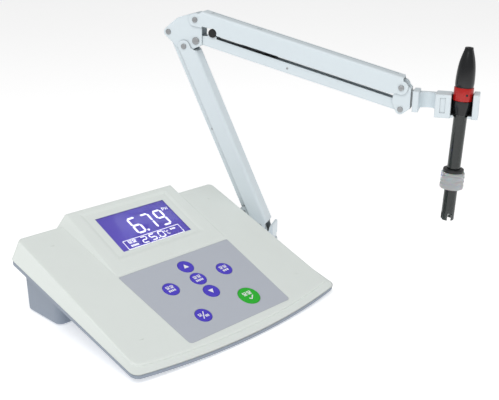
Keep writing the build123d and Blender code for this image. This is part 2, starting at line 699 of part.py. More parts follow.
def pivot_pin(pivot, radius, half, head_radius=0.0):
    """Rivet-like pivot across the arm, with a slotted head on each side."""
    x, z = pivot
    if not head_radius:
        return cylinder_y(radius, -half, half, x, z)
    pin = cylinder_y(radius, -half - 0.1, half + 0.1, x, z)
    for side in (-1, 1):
        inner = side * (half + 0.1)
        outer = side * (half + 0.1 + HEAD_HEIGHT)
        head = cylinder_y(head_radius, min(inner, outer), max(inner, outer), x, z)
        edge = head.edges().filter_by(GeomType.CIRCLE).sort_by(Axis.Y)[-1 if side > 0 else 0]
        head = fillet(edge, 0.45)
        slot = block((x - head_radius, min(outer, outer - side * 0.5), z - 0.4),
                     (x + head_radius, max(outer, outer - side * 0.5), z + 0.4))
        pin += head - slot
    return pin


def lower_channel():
    """Outer channel of the lower stage, drawn along X from the base pivot to the elbow."""
    length = LOWER_LENGTH
    outline = polygon((0, -7.2), (1.2, LOWER_WEB), (length - 10, LOWER_WEB), (length - 4.5, -6.6),
                      (length, -6.6), (length, LOWER_OPEN), (0, LOWER_OPEN))
    outline += Circle(7.2)
    outline += Pos(length, 0) * Circle(6.6)
    body = slab(outline, -OUTER_HALF, OUTER_HALF)
    body = fillet(body.edges().filter_by(Axis.X).group_by(Axis.Z)[0], CHANNEL_ROUND)
    inner = OUTER_HALF - OUTER_WALL
    body -= block((-20, -inner, LOWER_WEB + OUTER_WALL), (length + 20, inner, 30))
    for u in (0, length):
        body -= cylinder_y(PIN_RADIUS + RUNNING, -20, 20, u, 0)
    return put_arm(put_at(body, BASE_PIVOT, LOWER_ANGLE))


def lower_link():
    """Inner channel of the lower stage, behind the outer one."""
    length = LOWER_LENGTH
    back = 1.2
    outline = polygon((0, -4.6), (length, -4.6), (length, back), (0, back))
    outline += Circle(5.0)
    outline += Pos(length, 0) * Circle(5.0)
    body = slab(outline, -INNER_HALF, INNER_HALF)
    inner = INNER_HALF - INNER_WALL
    body -= block((8, -inner, -20), (length - 8, inner, back - INNER_WALL))
    body -= block((-20, -inner, -20), (14, inner, 20))
    body -= block((length - 8.1, -inner, -20), (length + 20, inner, 20))
    body -= cylinder_y(PIN_RADIUS + RUNNING, -20, 20, 0, 0)
    body -= cylinder_y(PIN_RADIUS + OPEN_PIVOT, -20, 20, length, 0)
    body -= cylinder_y(ANCHOR_RADIUS, -20, 20, LOWER_ANCHOR, LOWER_SPRING_V)
    return put_arm(put_at(body, BASE_PIVOT_2, LOWER_ANGLE))


def elbow_outline():
    """Side view of the elbow plate, from the lower stage's pivot."""
    ux, uz = ELBOW_TO_UPPER
    circles = [(PAIR_OFFSET[0], PAIR_OFFSET[1], 5.2), (0, 0, 6.6), (-2.5, 21.0, 10.2), (ux, uz, 7.0),
               (19.0, 24.0, 1.0), (18.5, 3.0, 1.5)]
    edges = ShapeList()
    for x, z, radius in circles:
        edges += (Pos(x, z) * Circle(radius)).edges()
    return make_hull(edges)


def elbow_bracket():
    """Two plates joined by a curved back; all four arm channels pivot on it."""
    outline = elbow_outline()
    cheeks = two_cheeks(outline, BRACKET_HALF, BRACKET_WALL)
    shell = slab(outline, -BRACKET_HALF, BRACKET_HALF)
    shell -= slab(offset(outline, -1.6), -20, 20)
    back = shell & slab(polygon((-14, 20), (-16, 45), (7, 45), (7, 30)), -20, 20)
    ux, uz = ELBOW_TO_UPPER
    body = cheeks + back
    for x, z in ((0, 0), PAIR_OFFSET, (ux, uz)):
        body -= cylinder_y(PIN_RADIUS, -20, 20, x, z)
    body -= cylinder_y(BIG_PIN_RADIUS, -20, 20, ux, uz - UPPER_PAIR)
    return put_arm(Pos(ELBOW[0], 0, ELBOW[1]) * body)


def upper_channel():
    """Outer channel of the upper stage, open below, with a long shallow groove on top."""
    length = UPPER_LENGTH
    outline = polygon((0, -6.9), (20, -5.0), (20, UPPER_BOTTOM), (length - 10, UPPER_BOTTOM),
                      (length - 2, -6.8), (length, -6.9), (length, 6.9), (length - 1.3, UPPER_TOP),
                      (5.5, UPPER_TOP), (2.6, 7.3), (0, 6.9))
    outline += Circle(7.0)
    outline += Pos(length, 0) * Circle(7.0)
    roller_u = ROLLER[0] + UPPER_PAIR * sin(radians(-UPPER_ANGLE))
    roller_v = ROLLER[1] - UPPER_PAIR * cos(radians(UPPER_ANGLE))
    outline -= Pos(roller_u, roller_v) * Circle(ROLLER_RADIUS + 0.6)
    outline -= polygon((9, -30), (9, -4.6), (roller_u, roller_v + 4.6), (roller_u, -30))
    body = slab(outline, -OUTER_HALF, OUTER_HALF)
    body = fillet(body.edges().filter_by(Axis.X).group_by(Axis.Z)[-1], CHANNEL_ROUND)
    inner = OUTER_HALF - OUTER_WALL
    body -= block((5.6, -inner, -30), (length - 1.0, inner, UPPER_TOP - OUTER_WALL))
    body -= slab(polygon((-20, -30), (6, -30), (6, UPPER_TOP - OUTER_WALL), (5.2, UPPER_TOP - OUTER_WALL),
                         (3.4, 7.4), (2.6, 7.2), (-20, 7.2)), -inner, inner)
    body -= block((length - 2, -inner, -30), (length + 20, inner, 9.0))
    body -= block((14, -4.2, UPPER_TOP - 0.5), (length - 8, 4.2, UPPER_TOP + 1))
    body -= block((66, -1.6, 0), (71, 1.6, UPPER_TOP + 1))
    for u in (0, length):
        body -= cylinder_y(PIN_RADIUS + RUNNING, -20, 20, u, 0)
    return put_arm(put_at(body, UPPER_PIVOT, UPPER_ANGLE))


def upper_link():
    """Inner channel of the upper stage, open above, with two ears for the stop rollers."""
    length = UPPER_LENGTH
    ru, rv = ROLLER
    outline = polygon((0, LINK_BOTTOM), (length, LINK_BOTTOM), (length, LINK_TOP - 3.5),
                      (length - 10, LINK_TOP), (10, LINK_TOP), (0, LINK_TOP - 3))
    outline += Circle(6.0)
    outline += Pos(length, 0) * Circle(5.0)
    outline += polygon((ru - 6, LINK_TOP - 1), (ru - 2.6, rv), (ru + 2.6, rv), (ru + 6, LINK_TOP - 1))
    outline += Pos(ru, rv) * Circle(2.8)
    body = slab(outline, -INNER_HALF, INNER_HALF)
    inner = INNER_HALF - INNER_WALL
    body -= block((10, -inner, LINK_BOTTOM + INNER_WALL), (length - 10, inner, 30))
    body -= block((-20, -inner, -20), (10.1, inner, 30))
    body -= block((length - 10.1, -inner, -20), (length + 20, inner, 30))
    body -= cylinder_y(BIG_PIN_RADIUS + RUNNING, -20, 20, 0, 0)
    body -= cylinder_y(PIN_RADIUS + OPEN_PIVOT, -20, 20, length, 0)
    body -= cylinder_y(1.5, -20, 20, ru, rv)
    body -= cylinder_y(ANCHOR_RADIUS, -20, 20, UPPER_ANCHOR, UPPER_SPRING_V)
    return put_arm(put_at(body, UPPER_PIVOT_2, UPPER_ANGLE))


def stop_rollers():
    """Two rubber discs on one pin: they meet the elbow plate when the arm is fully raised."""
    ru, rv = ROLLER
    body = cylinder_y(1.5, -BRACKET_HALF, BRACKET_HALF, ru, rv)
    for side in (-1, 1):
        low, high = sorted((side * (INNER_HALF + 0.05), side * BRACKET_HALF))
        body += cylinder_y(ROLLER_RADIUS, low, high, ru, rv)
    return put_arm(put_at(body, UPPER_PIVOT_2, UPPER_ANGLE))


def spring(pin_radius, coil_radius, offset_v, start, end, anchor):
    """Tension spring along X: an eye round a pin, a ribbed close-wound body and a straight tail."""
    eye = cylinder_y(pin_radius + RUNNING + 1.3, -EYE_HALF, EYE_HALF)
    eye -= cylinder_y(pin_radius + RUNNING, -2, 2, 0, 0)
    slope = degrees(atan2(offset_v, start))
    reach = start / cos(radians(slope)) + 1
    lead = Rot(0, -slope, 0) * cylinder_x(WIRE_RADIUS, pin_radius + RUNNING + 0.5, reach)
    body = cylinder_x(coil_radius - 0.6, start, end, 0, offset_v)
    count = int((end - start) / COIL_PITCH)
    for index in range(count):
        middle = start + (index + 0.5) * (end - start) / count
        body += cylinder_x(coil_radius, middle - 0.7, middle + 0.7, 0, offset_v)
    tail = cylinder_x(WIRE_RADIUS, end - 1, anchor - ANCHOR_RADIUS, 0, offset_v)
    return eye + lead + body + tail


def upper_spring():
    body = spring(BIG_PIN_RADIUS, 2.7, UPPER_SPRING_V, 34, 92, UPPER_ANCHOR)
    return put_arm(put_at(body, UPPER_PIVOT_2, UPPER_ANGLE))


def upper_spring_pin():
    pin = cylinder_y(ANCHOR_RADIUS, -INNER_HALF, INNER_HALF, UPPER_ANCHOR, UPPER_SPRING_V)
    return put_arm(put_at(pin, UPPER_PIVOT_2, UPPER_ANGLE))


def lower_spring():
    body = spring(PIN_RADIUS, 1.9, LOWER_SPRING_V, 30, 90, LOWER_ANCHOR)
    return put_arm(put_at(body, BASE_PIVOT_2, LOWER_ANGLE))


def lower_spring_pin():
    pin = cylinder_y(ANCHOR_RADIUS, -INNER_HALF, INNER_HALF, LOWER_ANCHOR, LOWER_SPRING_V)
    return put_arm(put_at(pin, BASE_PIVOT_2, LOWER_ANGLE))


# ---------------------------------------------------------------- head
def head_bracket():
    """Two plates and an end wall: the arm's two channels pivot on it."""
    circles = [(0, 0, 6.4), (0, -UPPER_PAIR, 5.2), (-2.4, -14, 6.4), (8.6, -1.8, 1.2), (8.6, -20.6, 1.2)]
    edges = ShapeList()
    for x, z, radius in circles:
        edges += (Pos(x, z) * Circle(radius)).edges()
    outline = make_hull(edges)
    body = two_cheeks(outline, BRACKET_HALF, BRACKET_WALL)
    body += block((7.6, -BRACKET_HALF, -21.8), (9.8, BRACKET_HALF, -0.6))
    body += block((9.0, -6.5, -19.5), (CLIP_BLOCKS[0][0] - HEAD_PIVOT[0], 6.5, -4))
    for z in (0, -UPPER_PAIR):
        body -= cylinder_y(PIN_RADIUS, -20, 20, 0, z)
    return put_arm(Pos(HEAD_PIVOT[0], 0, HEAD_PIVOT[1]) * body)


def clip_slot(reach, radius, low, high, rear):
    """Round-bottomed slot wall, open to the front."""
    outer_half = radius + 2.4
    wall = block((reach - outer_half, CLIP_CENTRE, low), (reach + outer_half, rear, high))
    return wall


def electrode_clip():
    """Three blocks with two open round slots between them, for two electrodes."""
    body = Part()
    for left, right, low, high in CLIP_BLOCKS:
        piece = block((left, -OUTER_HALF, low), (right, CLIP_REAR, high))
        piece = fillet(piece.edges().filter_by(Axis.Z), 1.2)
        piece = chamfer(piece.faces().sort_by(Axis.Z)[-1].edges(), 0.6)
        body += piece
    for reach, radius, low, high in (SPARE_CLIP, ELECTRODE_CLIP):
        body += clip_slot(reach, radius, low, high, CLIP_REAR - 0.5)
    for reach, radius, low, high in (SPARE_CLIP, ELECTRODE_CLIP):
        cut = cylinder_z(radius, 150, 230, reach, CLIP_CENTRE)
        cut += block((reach - radius, -30, 150), (reach + radius, CLIP_CENTRE, 230))
        body -= cut
    reach, radius, low, high = ELECTRODE_CLIP
    shelf = block((reach - radius - 1, -8.5, low - 1.8), (reach + radius + 1, CLIP_REAR - 0.5, low + 0.6))
    shelf -= cylinder_z(SHELF_RADIUS, 150, 230, reach - 0.5, CLIP_CENTRE)
    shelf -= block((reach - 0.5 - SHELF_RADIUS, -30, 150), (reach - 0.5 + SHELF_RADIUS, CLIP_CENTRE, 230))
    body += shelf
    body -= block((180.4, -OUTER_HALF - 1, 180.2), (185.6, -OUTER_HALF + 0.8, 195.4))
    return put_arm(body)


# ---------------------------------------------------------------- electrode
def put_electrode(shape):
    """From the electrode's own frame, measured down from the top, to the clip."""
    reach, top = ELECTRODE_TOP
    return put_arm(Pos(reach, CLIP_CENTRE, top) * Rot(0, ELECTRODE_LEAN, 0) * shape)


def turned(*points):
    """Solid turned about the axis from (radius, distance down) points."""
    return revolve(Plane.XZ * polygon(*[(radius, -down) for radius, down in points]), Axis.Z)


def electrode_boot():
    """Soft boot round the lead, swelling to the collar."""
    outline = [Spline((4.3, 0), (5.3, 4.5), (7.0, 10.5), (8.7, 19.0), (9.6, 30.0), (9.6, COLLAR_START))]
    points = [outline[0] @ (t / 16) for t in range(17)]
    return put_electrode(turned((1.6, 0), (1.6, 14), (0, 14), (0, COLLAR_START),
                                *[(p.X, p.Y) for p in reversed(points)]))


def electrode_collar():
    ring = turned((0, COLLAR_START), (0, COLLAR_END), (COLLAR_RADIUS - 0.3, COLLAR_END),
                  (COLLAR_RADIUS, COLLAR_END - 0.4), (COLLAR_RADIUS, COLLAR_START + 0.4),
                  (COLLAR_RADIUS - 0.3, COLLAR_START))
    port = Pos(0, -COLLAR_RADIUS, -(COLLAR_START + COLLAR_END) / 2) * Rot(90, 0, 0) * Cylinder(1.3, 3)
    return put_electrode(ring - Rot(0, 0, 8) * port)


def electrode_cap():
    """Black cap that tapers down to the shaft and grips its top."""
    shape = turned((0, COLLAR_END), (0, CAP_END - 9), (SHAFT_RADIUS, CAP_END - 9), (SHAFT_RADIUS, CAP_END),
                   (7.6, CAP_END), (7.9, CAP_END - 2), (9.5, COLLAR_END + 4), (9.5, COLLAR_END))
    return put_electrode(shape)


def electrode_shaft():
    """Clear dark tube with castellated guard fingers at its lower end."""
    tube = turned((SHAFT_BORE, CAP_END - 9), (SHAFT_RADIUS, CAP_END - 9), (SHAFT_RADIUS, ELECTRODE_END - 0.6),
                  (SHAFT_RADIUS - 0.5, ELECTRODE_END), (SHAFT_BORE, ELECTRODE_END))
    for turn in (20, 110):
        tube -= Rot(0, 0, turn) * block((-20, -2.1, -ELECTRODE_END - 1), (20, 2.1, -SHAFT_END))
    return put_electrode(tube)


def electrode_stem():
    """Glass tube down the middle with the sensing bulb at its end, held by a plug."""
    stem = turned((0, CAP_END - 9), (SHAFT_BORE, CAP_END - 9), (SHAFT_BORE, CAP_END - 4), (2.6, CAP_END - 4),
                  (2.6, SHAFT_END - 10), (SHAFT_BORE, SHAFT_END - 10), (SHAFT_BORE, SHAFT_END - 6),
                  (2.6, SHAFT_END - 6), (2.6, SHAFT_END - 3), (0, SHAFT_END - 3))
    bulb = Pos(0, 0, -(SHAFT_END - 0.5)) * Sphere(3.9)
    return put_electrode(stem + bulb)


def reference_element():
    """Silver wire coil of the reference half cell beside the stem."""
    wire = Pos(4.0, 0, 0) * cylinder_z(0.5, -SHAFT_END + 20, -CAP_END + 3.9)
    return put_electrode(wire)


def storage_ring():
    """Screw collar of the storage bottle, pushed up the shaft, with moulded grip ridges."""
    low, high = RING_START, RING_END
    outer = [(RING_RADIUS - 0.8, low), (RING_RADIUS - 0.2, low + 1.0)]
    ridge = (high - low - 5) / 3
    for index in range(3):
        start = low + 2.2 + index * ridge
        outer += [(RING_RADIUS - 0.5, start), (RING_RADIUS + 0.1, start + ridge * 0.5),
                  (RING_RADIUS - 0.5, start + ridge * 0.95)]
    outer += [(RING_RADIUS - 0.1, high - 1.0), (RING_RADIUS - 0.8, high)]
    return put_electrode(turned((SHAFT_RADIUS + 0.4, low), *outer, (SHAFT_RADIUS + 0.4, high)))


def storage_seal():
    """Rubber seal on top of the storage ring; it grips the shaft."""
    bore = SHAFT_RADIUS + RUNNING
    shape = turned((bore, SEAL_START), (SEAL_RADIUS - 1.0, SEAL_START), (SEAL_RADIUS, SEAL_START + 1.2),
                   (SEAL_RADIUS, RING_START), (bore, RING_START))
    return put_electrode(shape)


# ---------------------------------------------------------------- write every node
def all_nodes():
    glass, guide, tray = lcd_stack()
    nodes = {
        "upper_housing": upper_housing(),
        "lower_housing": lower_housing(),
        "display_window": display_window(),
        "lcd_glass": glass,
        "lcd_light_guide": guide,
        "lcd_tray": tray,
        "keypad_overlay": keypad_overlay(),
        "key_board": key_board(),
        "snap_domes": snap_domes(),
        "main_board": main_board(),
        "board_parts": board_parts(),
        "board_screws": board_screws(),
        "flat_cable": flat_cable(),
        "case_screws": case_screws(),
        "rear_feet": feet(REAR_FOOT_Y),
        "front_feet": feet(FRONT_FOOT_Y),
        "bnc_socket": bnc_socket(),
        "reference_post": reference_post(),
        "reference_cap": reference_cap(),
        "temperature_socket": temperature_socket(),
        "power_jack": power_jack(),
        "switch_frame": switch_frame(),
        "power_rocker": power_rocker(),
        "arm_mount": arm_mount(),
        "arm_mount_screws": mount_screws(),
        "swivel_pin": swivel_pin(),
        "turret": turret(),
        "turret_pins": group(put_arm(pivot_pin(BASE_PIVOT, PIN_RADIUS, OUTER_HALF, HEAD_RADIUS)),
                             put_arm(pivot_pin(BASE_PIVOT_2, PIN_RADIUS, BRACKET_HALF))),
        "lower_arm_channel": lower_channel(),
        "lower_arm_link": lower_link(),
        "lower_arm_spring": lower_spring(),
        "lower_spring_pin": lower_spring_pin(),
        "elbow_bracket": elbow_bracket(),
        "elbow_pins": group(put_arm(pivot_pin(ELBOW, PIN_RADIUS, OUTER_HALF, HEAD_RADIUS)),
                            put_arm(pivot_pin(ELBOW_2, PIN_RADIUS, BRACKET_HALF - 0.1, HEAD_RADIUS)),
                            put_arm(pivot_pin(UPPER_PIVOT, PIN_RADIUS, OUTER_HALF, HEAD_RADIUS))),
        "friction_screw": put_arm(pivot_pin(UPPER_PIVOT_2, BIG_PIN_RADIUS, BRACKET_HALF - 0.1,
                                            BIG_HEAD_RADIUS)),
        "upper_arm_channel": upper_channel(),
        "upper_arm_link": upper_link(),
        "upper_arm_spring": upper_spring(),
        "upper_spring_pin": upper_spring_pin(),
        "stop_rollers": stop_rollers(),
        "head_bracket": head_bracket(),
        "head_pins": group(put_arm(pivot_pin(HEAD_PIVOT, PIN_RADIUS, OUTER_HALF, HEAD_RADIUS)),
                           put_arm(pivot_pin(HEAD_PIVOT_2, PIN_RADIUS, BRACKET_HALF - 0.1, HEAD_RADIUS))),
        "electrode_clip": electrode_clip(),
        "electrode_boot": electrode_boot(),
        "electrode_collar": electrode_collar(),
        "electrode_cap": electrode_cap(),
        "electrode_shaft": electrode_shaft(),
        "electrode_stem": electrode_stem(),
        "reference_element": reference_element(),
        "storage_ring": storage_ring(),
        "storage_seal": storage_seal(),
    }
    for name in KEYS:
        nodes[name] = key(name)
    return nodes


os.makedirs("parts", exist_ok=True)
for node, shape in all_nodes().items():
    export_step(shape, f"parts/{node}.step")
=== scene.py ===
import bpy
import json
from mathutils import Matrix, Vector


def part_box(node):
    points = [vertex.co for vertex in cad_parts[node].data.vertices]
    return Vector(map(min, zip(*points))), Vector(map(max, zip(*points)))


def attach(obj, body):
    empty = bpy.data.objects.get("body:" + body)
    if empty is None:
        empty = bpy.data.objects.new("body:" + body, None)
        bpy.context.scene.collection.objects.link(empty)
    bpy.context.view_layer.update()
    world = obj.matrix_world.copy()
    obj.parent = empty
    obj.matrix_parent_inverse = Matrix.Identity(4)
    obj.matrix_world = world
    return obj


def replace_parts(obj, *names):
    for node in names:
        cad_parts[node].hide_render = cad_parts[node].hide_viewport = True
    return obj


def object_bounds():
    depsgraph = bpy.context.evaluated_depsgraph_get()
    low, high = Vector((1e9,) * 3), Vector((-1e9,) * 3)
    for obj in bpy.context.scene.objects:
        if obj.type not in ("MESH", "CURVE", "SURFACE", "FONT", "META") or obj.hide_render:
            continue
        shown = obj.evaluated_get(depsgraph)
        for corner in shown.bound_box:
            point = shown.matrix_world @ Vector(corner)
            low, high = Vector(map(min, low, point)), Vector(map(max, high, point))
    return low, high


bl_info = {
    "name": "Bench pH meter",
    "version": (1, 0, 0),
    "blender": (4, 5, 0),
    "location": "3D View > Sidebar > pH meter",
    "description": "Finishes a bench pH meter with an electrode arm, and lights it in a plain studio",
    "category": "Object",
}

import json
from math import cos, pi, radians, sin, tau

import bmesh
import bpy
from bpy.props import FloatProperty, FloatVectorProperty, IntProperty, PointerProperty
from mathutils import Matrix, Vector

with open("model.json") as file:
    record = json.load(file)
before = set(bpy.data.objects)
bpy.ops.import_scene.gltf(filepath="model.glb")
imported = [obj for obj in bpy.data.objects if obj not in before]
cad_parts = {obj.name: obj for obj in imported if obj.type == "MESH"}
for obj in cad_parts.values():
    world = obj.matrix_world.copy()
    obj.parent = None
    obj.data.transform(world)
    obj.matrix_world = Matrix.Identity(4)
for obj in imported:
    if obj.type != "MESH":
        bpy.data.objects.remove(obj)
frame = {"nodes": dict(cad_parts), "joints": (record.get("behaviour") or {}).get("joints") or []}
CAD_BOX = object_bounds()
JOINTS = {joint["name"]: joint for joint in frame["joints"]}
MM = 0.001
KEY_FLANGE = 1.2 * MM           # how far the flange of a key is wider than its cap
INK_CLEARANCE = 0.01 * MM       # keeps printed shapes off the surface under them
COLLAR_DROP = 46.5              # mm from the top of the boot to the middle of the collar
SHAFT_BORE = 6.86               # mm, inner radius of the seal on the tube
FILLING_PORT_TURN = radians(-128)


# ---------------------------------------------------------------- colours and settings
def linear(hex_colour):
    """An sRGB hex colour as linear red, green and blue."""
    parts = [int(hex_colour[i:i + 2], 16) / 255 for i in (1, 3, 5)]
    return tuple(c / 12.92 if c <= 0.04045 else ((c + 0.055) / 1.055) ** 2.4 for c in parts)


def colour(name, description, hex_colour):
    """A colour setting; its default is given as sRGB hex."""
    return FloatVectorProperty(name=name, description=description, default=linear(hex_colour),
                               subtype="COLOR", size=3, min=0, max=1)


def length(name, description, millimetres):
    """A length setting; its default is given in millimetres."""
    return FloatProperty(name=name, description=description, default=millimetres * MM,
                         subtype="DISTANCE", unit="LENGTH", min=0, precision=5)


class CaseLook(bpy.types.PropertyGroup):
    upper: colour("Upper housing", "ABS of the upper housing", "#E6ECE8")
    lower: colour("Lower housing", "ABS of the lower housing", "#8E98A6")
    film: colour("Keypad film", "Printed film round the keys", "#BBC0CA")
    key: colour("Keys", "Cap of the blue keys", "#4A38C8")
    confirm: colour("Confirm key", "Cap of the green key", "#17B61E")
    ink: colour("Ink", "White print on the keys", "#F6F6F8")
    grain: length("Mould grain", "Spacing of the spark-eroded grain", 0.5)
    edge: length("Edge round", "Rounding that the light finds on moulded edges", 0.7)
    print_height: length("Ink height", "Thickness of the print on a key", 0.05)


class DisplayLook(bpy.types.PropertyGroup):
    back: colour("Backlight", "Violet of the lit display", "#5A46CE")
    digit: colour("Digits", "White of the lit segments", "#FFFFFF")
    digit_height: length("Digit height", "Height of the main digits", 21.5)
    digit_width: length("Digit width", "Width of the main digits", 9.2)
    stroke: length("Stroke", "Width of a main segment", 2.3)
    small_height: length("Small digit height", "Height of the second line", 8.0)
    small_stroke: length("Small stroke", "Width of a segment of the second line", 1.3)
    glow: FloatProperty(name="Glow", description="Strength of the backlight", default=0.3, min=0, max=5)


class ArmLook(bpy.types.PropertyGroup):
    moulding: colour("Arm moulding", "ABS of the arm, the turret and the clip", "#D9E3E8")
    steel: colour("Steel", "Zinc-plated pins and screws", "#A4A6A8")
    spring: colour("Spring steel", "Drawn wire of the balance springs", "#74767A")
    rubber: colour("Rubber", "Rollers, feet and seal", "#161719")
    wire: length("Spring wire", "Diameter of the balance spring wire", 0.9)
    # Painted shade: reach of the ambient occlusion that darkens narrow gaps of the arm moulding.
    gap: length("Gap", "Width of a gap that looks dark", 14)


class ElectrodeLook(bpy.types.PropertyGroup):
    boot: colour("Boot", "Soft black moulding of the boot and cap", "#101214")
    collar: colour("Collar", "Red collar", "#B0120E")
    tube: colour("Tube", "Smoke-tinted polycarbonate tube", "#2C3735")
    stem: colour("Stem", "Glass of the stem and bulb", "#DDE8E4")
    ring: colour("Storage ring", "Natural polypropylene", "#D6DADC")
    silver: colour("Silver", "Silver wire of the half cell", "#C8C8C4")
    sides: IntProperty(name="Sides", description="Sides of the turned pieces", default=96, min=24, max=256)


class InsideLook(bpy.types.PropertyGroup):
    board: colour("Board", "Solder mask", "#1C5A33")
    black: colour("Sockets", "Black nylon of sockets and chips", "#1B1C1E")
    nickel: colour("Nickel", "Nickel plate of the sockets", "#BDB9AE")
    red: colour("Terminal cap", "Red terminal cap", "#B01A14")
    cable: colour("Ribbon", "Grey ribbon cable", "#BDBDB8")


class StudioLook(bpy.types.PropertyGroup):
    floor: colour("Floor", "Pale floor", "#FAFAFA")
    azimuth: FloatProperty(name="Azimuth", description="Where the camera stands round the case",
                           default=radians(-45.57), subtype="ANGLE", unit="ROTATION")
    elevation: FloatProperty(name="Elevation", description="How far the camera looks down",
                             default=radians(18.918), subtype="ANGLE", unit="ROTATION")
    roll: FloatProperty(name="Roll", description="Tilt of the camera", default=radians(0.458),
                        subtype="ANGLE", unit="ROTATION")
    place: FloatVectorProperty(name="Camera", description="Where the camera is",
                               default=(-0.4998, -0.5859, 0.3725), subtype="TRANSLATION",
                               unit="LENGTH", precision=4)
    lens: FloatProperty(name="Lens", description="Focal length on a 36 mm wide sensor", default=61.09,
                        subtype="DISTANCE_CAMERA", unit="CAMERA", min=1)
    key_power: FloatProperty(name="Key light", description="Power of the key light", default=13, min=0,
                             subtype="POWER", unit="POWER")
    fill_power: FloatProperty(name="Fill light", description="Power of the fill light", default=3, min=0,
                              subtype="POWER", unit="POWER")
    sky: FloatProperty(name="Sky", description="Light from the white surroundings", default=0.44, min=0)
    sweep: FloatProperty(name="Sweep", description="Light from behind the paper of the floor",
                         default=0.45, min=0)


# ---------------------------------------------------------------- materials
def add(tree, kind, inputs=None, **settings):
    """Adds a node, with its settings, and fills or links its inputs."""
    node = tree.nodes.new(kind)
    for key, value in settings.items():
        setattr(node, key, value)
    for key, value in (inputs or {}).items():
        if isinstance(value, bpy.types.NodeSocket):
            tree.links.new(value, node.inputs[key])
        else:
            node.inputs[key].default_value = value
    return node


def rgba(rgb, factor=1.0):
    """A linear colour with full alpha, made lighter or darker by a factor."""
    return tuple(min(1.0, c * factor) for c in rgb) + (1.0,)


def fresh(name):
    """An empty material with an output, a principled shader and object coordinates."""
    material = bpy.data.materials.new(name)
    material.use_nodes = True
    tree = material.node_tree
    tree.nodes.clear()
    shader = add(tree, "ShaderNodeBsdfPrincipled")
    add(tree, "ShaderNodeOutputMaterial", {"Surface": shader.outputs["BSDF"]})
    where = add(tree, "ShaderNodeTexCoord").outputs["Object"]
    return material, tree, shader, where


def vary(tree, where, rgb, spread, size):
    """The colour with slow lighter and darker patches, size metres across."""
    patches = add(tree, "ShaderNodeTexNoise", {"Vector": where, "Scale": 1 / size, "Detail": 3.0,
                                               "Roughness": 0.6})
    return blend_tones(tree, patches.outputs["Fac"], rgba(rgb, 1 - spread), rgba(rgb, 1 + spread))


def blend_tones(tree, share, first, second):
    """A mix of two colours, all of the first at 0 and all of the second at 1."""
    return add(tree, "ShaderNodeMix", {0: share, 6: first, 7: second}, data_type="RGBA").outputs[2]


def spread_value(tree, source, low, high):
    """A value from low to high as the source goes from 0 to 1."""
    return add(tree, "ShaderNodeMapRange", {0: source, 3: low, 4: high}).outputs[0]


def set_up(shader, **values):
    """Sets shader inputs; an underscore stands for the space in an input's name."""
    for name, value in values.items():
        shader.inputs[name.replace("_", " ")].default_value = value


def moulded(name, rgb, grain, edge, rough=(0.42, 0.54), relief=0.012, spread=0.02, painted_shade_reach=0.0):
    """ABS from a spark-eroded mould: an even, slightly silky skin whose fine grain breaks up the
    highlights, and eased edges that catch a thin line of light. A reach for painted shade darkens narrow
    gaps, where shade falls."""
    material, tree, shader, where = fresh(name)
    skin = add(tree, "ShaderNodeTexNoise", {"Vector": where, "Scale": 1 / grain, "Detail": 4.0,
                                            "Roughness": 0.7})
    eased = add(tree, "ShaderNodeBevel", {"Radius": edge}, samples=6).outputs["Normal"]
    bump = add(tree, "ShaderNodeBump", {"Height": skin.outputs["Fac"], "Distance": relief * MM,
                                        "Strength": 0.6, "Normal": eased})
    tone = vary(tree, where, rgb, spread, 40 * MM)
    # Painted shade: ambient occlusion darkens the colour towards an eighth of it in narrow gaps and
    # crevices.
    if painted_shade_reach:
        open_sky = add(tree, "ShaderNodeAmbientOcclusion", {"Distance": painted_shade_reach}, samples=8).outputs["AO"]
        share = add(tree, "ShaderNodeMapRange", {0: open_sky, 1: 0.2, 2: 0.65}).outputs[0]
        tone = blend_tones(tree, share, rgba(rgb, 0.12), tone)
    tree.links.new(tone, shader.inputs["Base Color"])
    tree.links.new(spread_value(tree, skin.outputs["Fac"], *rough), shader.inputs["Roughness"])
    tree.links.new(bump.outputs["Normal"], shader.inputs["Normal"])
    set_up(shader, IOR=1.54)
    return material


def printed_film(rgb):
    """Polyester film, screen printed on its back: a flat satin grey with a very fine stipple."""
    material, tree, shader, where = fresh("polyester_film_printed")
    stipple = add(tree, "ShaderNodeTexVoronoi", {"Vector": where, "Scale": 1 / (0.6 * MM)})
    bump = add(tree, "ShaderNodeBump", {"Height": stipple.outputs["Distance"], "Distance": 0.006 * MM,
                                        "Strength": 0.5})
    tree.links.new(vary(tree, where, rgb, 0.015, 25 * MM), shader.inputs["Base Color"])
    tree.links.new(spread_value(tree, stipple.outputs["Distance"], 0.34, 0.46), shader.inputs["Roughness"])
    tree.links.new(bump.outputs["Normal"], shader.inputs["Normal"])
    set_up(shader, IOR=1.6)
    return material


def ink(name, rgb, glow=0.0):
    """Opaque screen ink, a little uneven where the mesh let it through."""
    material, tree, shader, where = fresh(name)
    weave = add(tree, "ShaderNodeTexNoise", {"Vector": where, "Scale": 1 / (0.3 * MM), "Detail": 2.0})
    tone = vary(tree, where, rgb, 0.03, 2 * MM)
    tree.links.new(tone, shader.inputs["Base Color"])
    tree.links.new(spread_value(tree, weave.outputs["Fac"], 0.45, 0.6), shader.inputs["Roughness"])
    if glow:
        tree.links.new(tone, shader.inputs["Emission Color"])
        set_up(shader, Emission_Strength=glow)
    return material


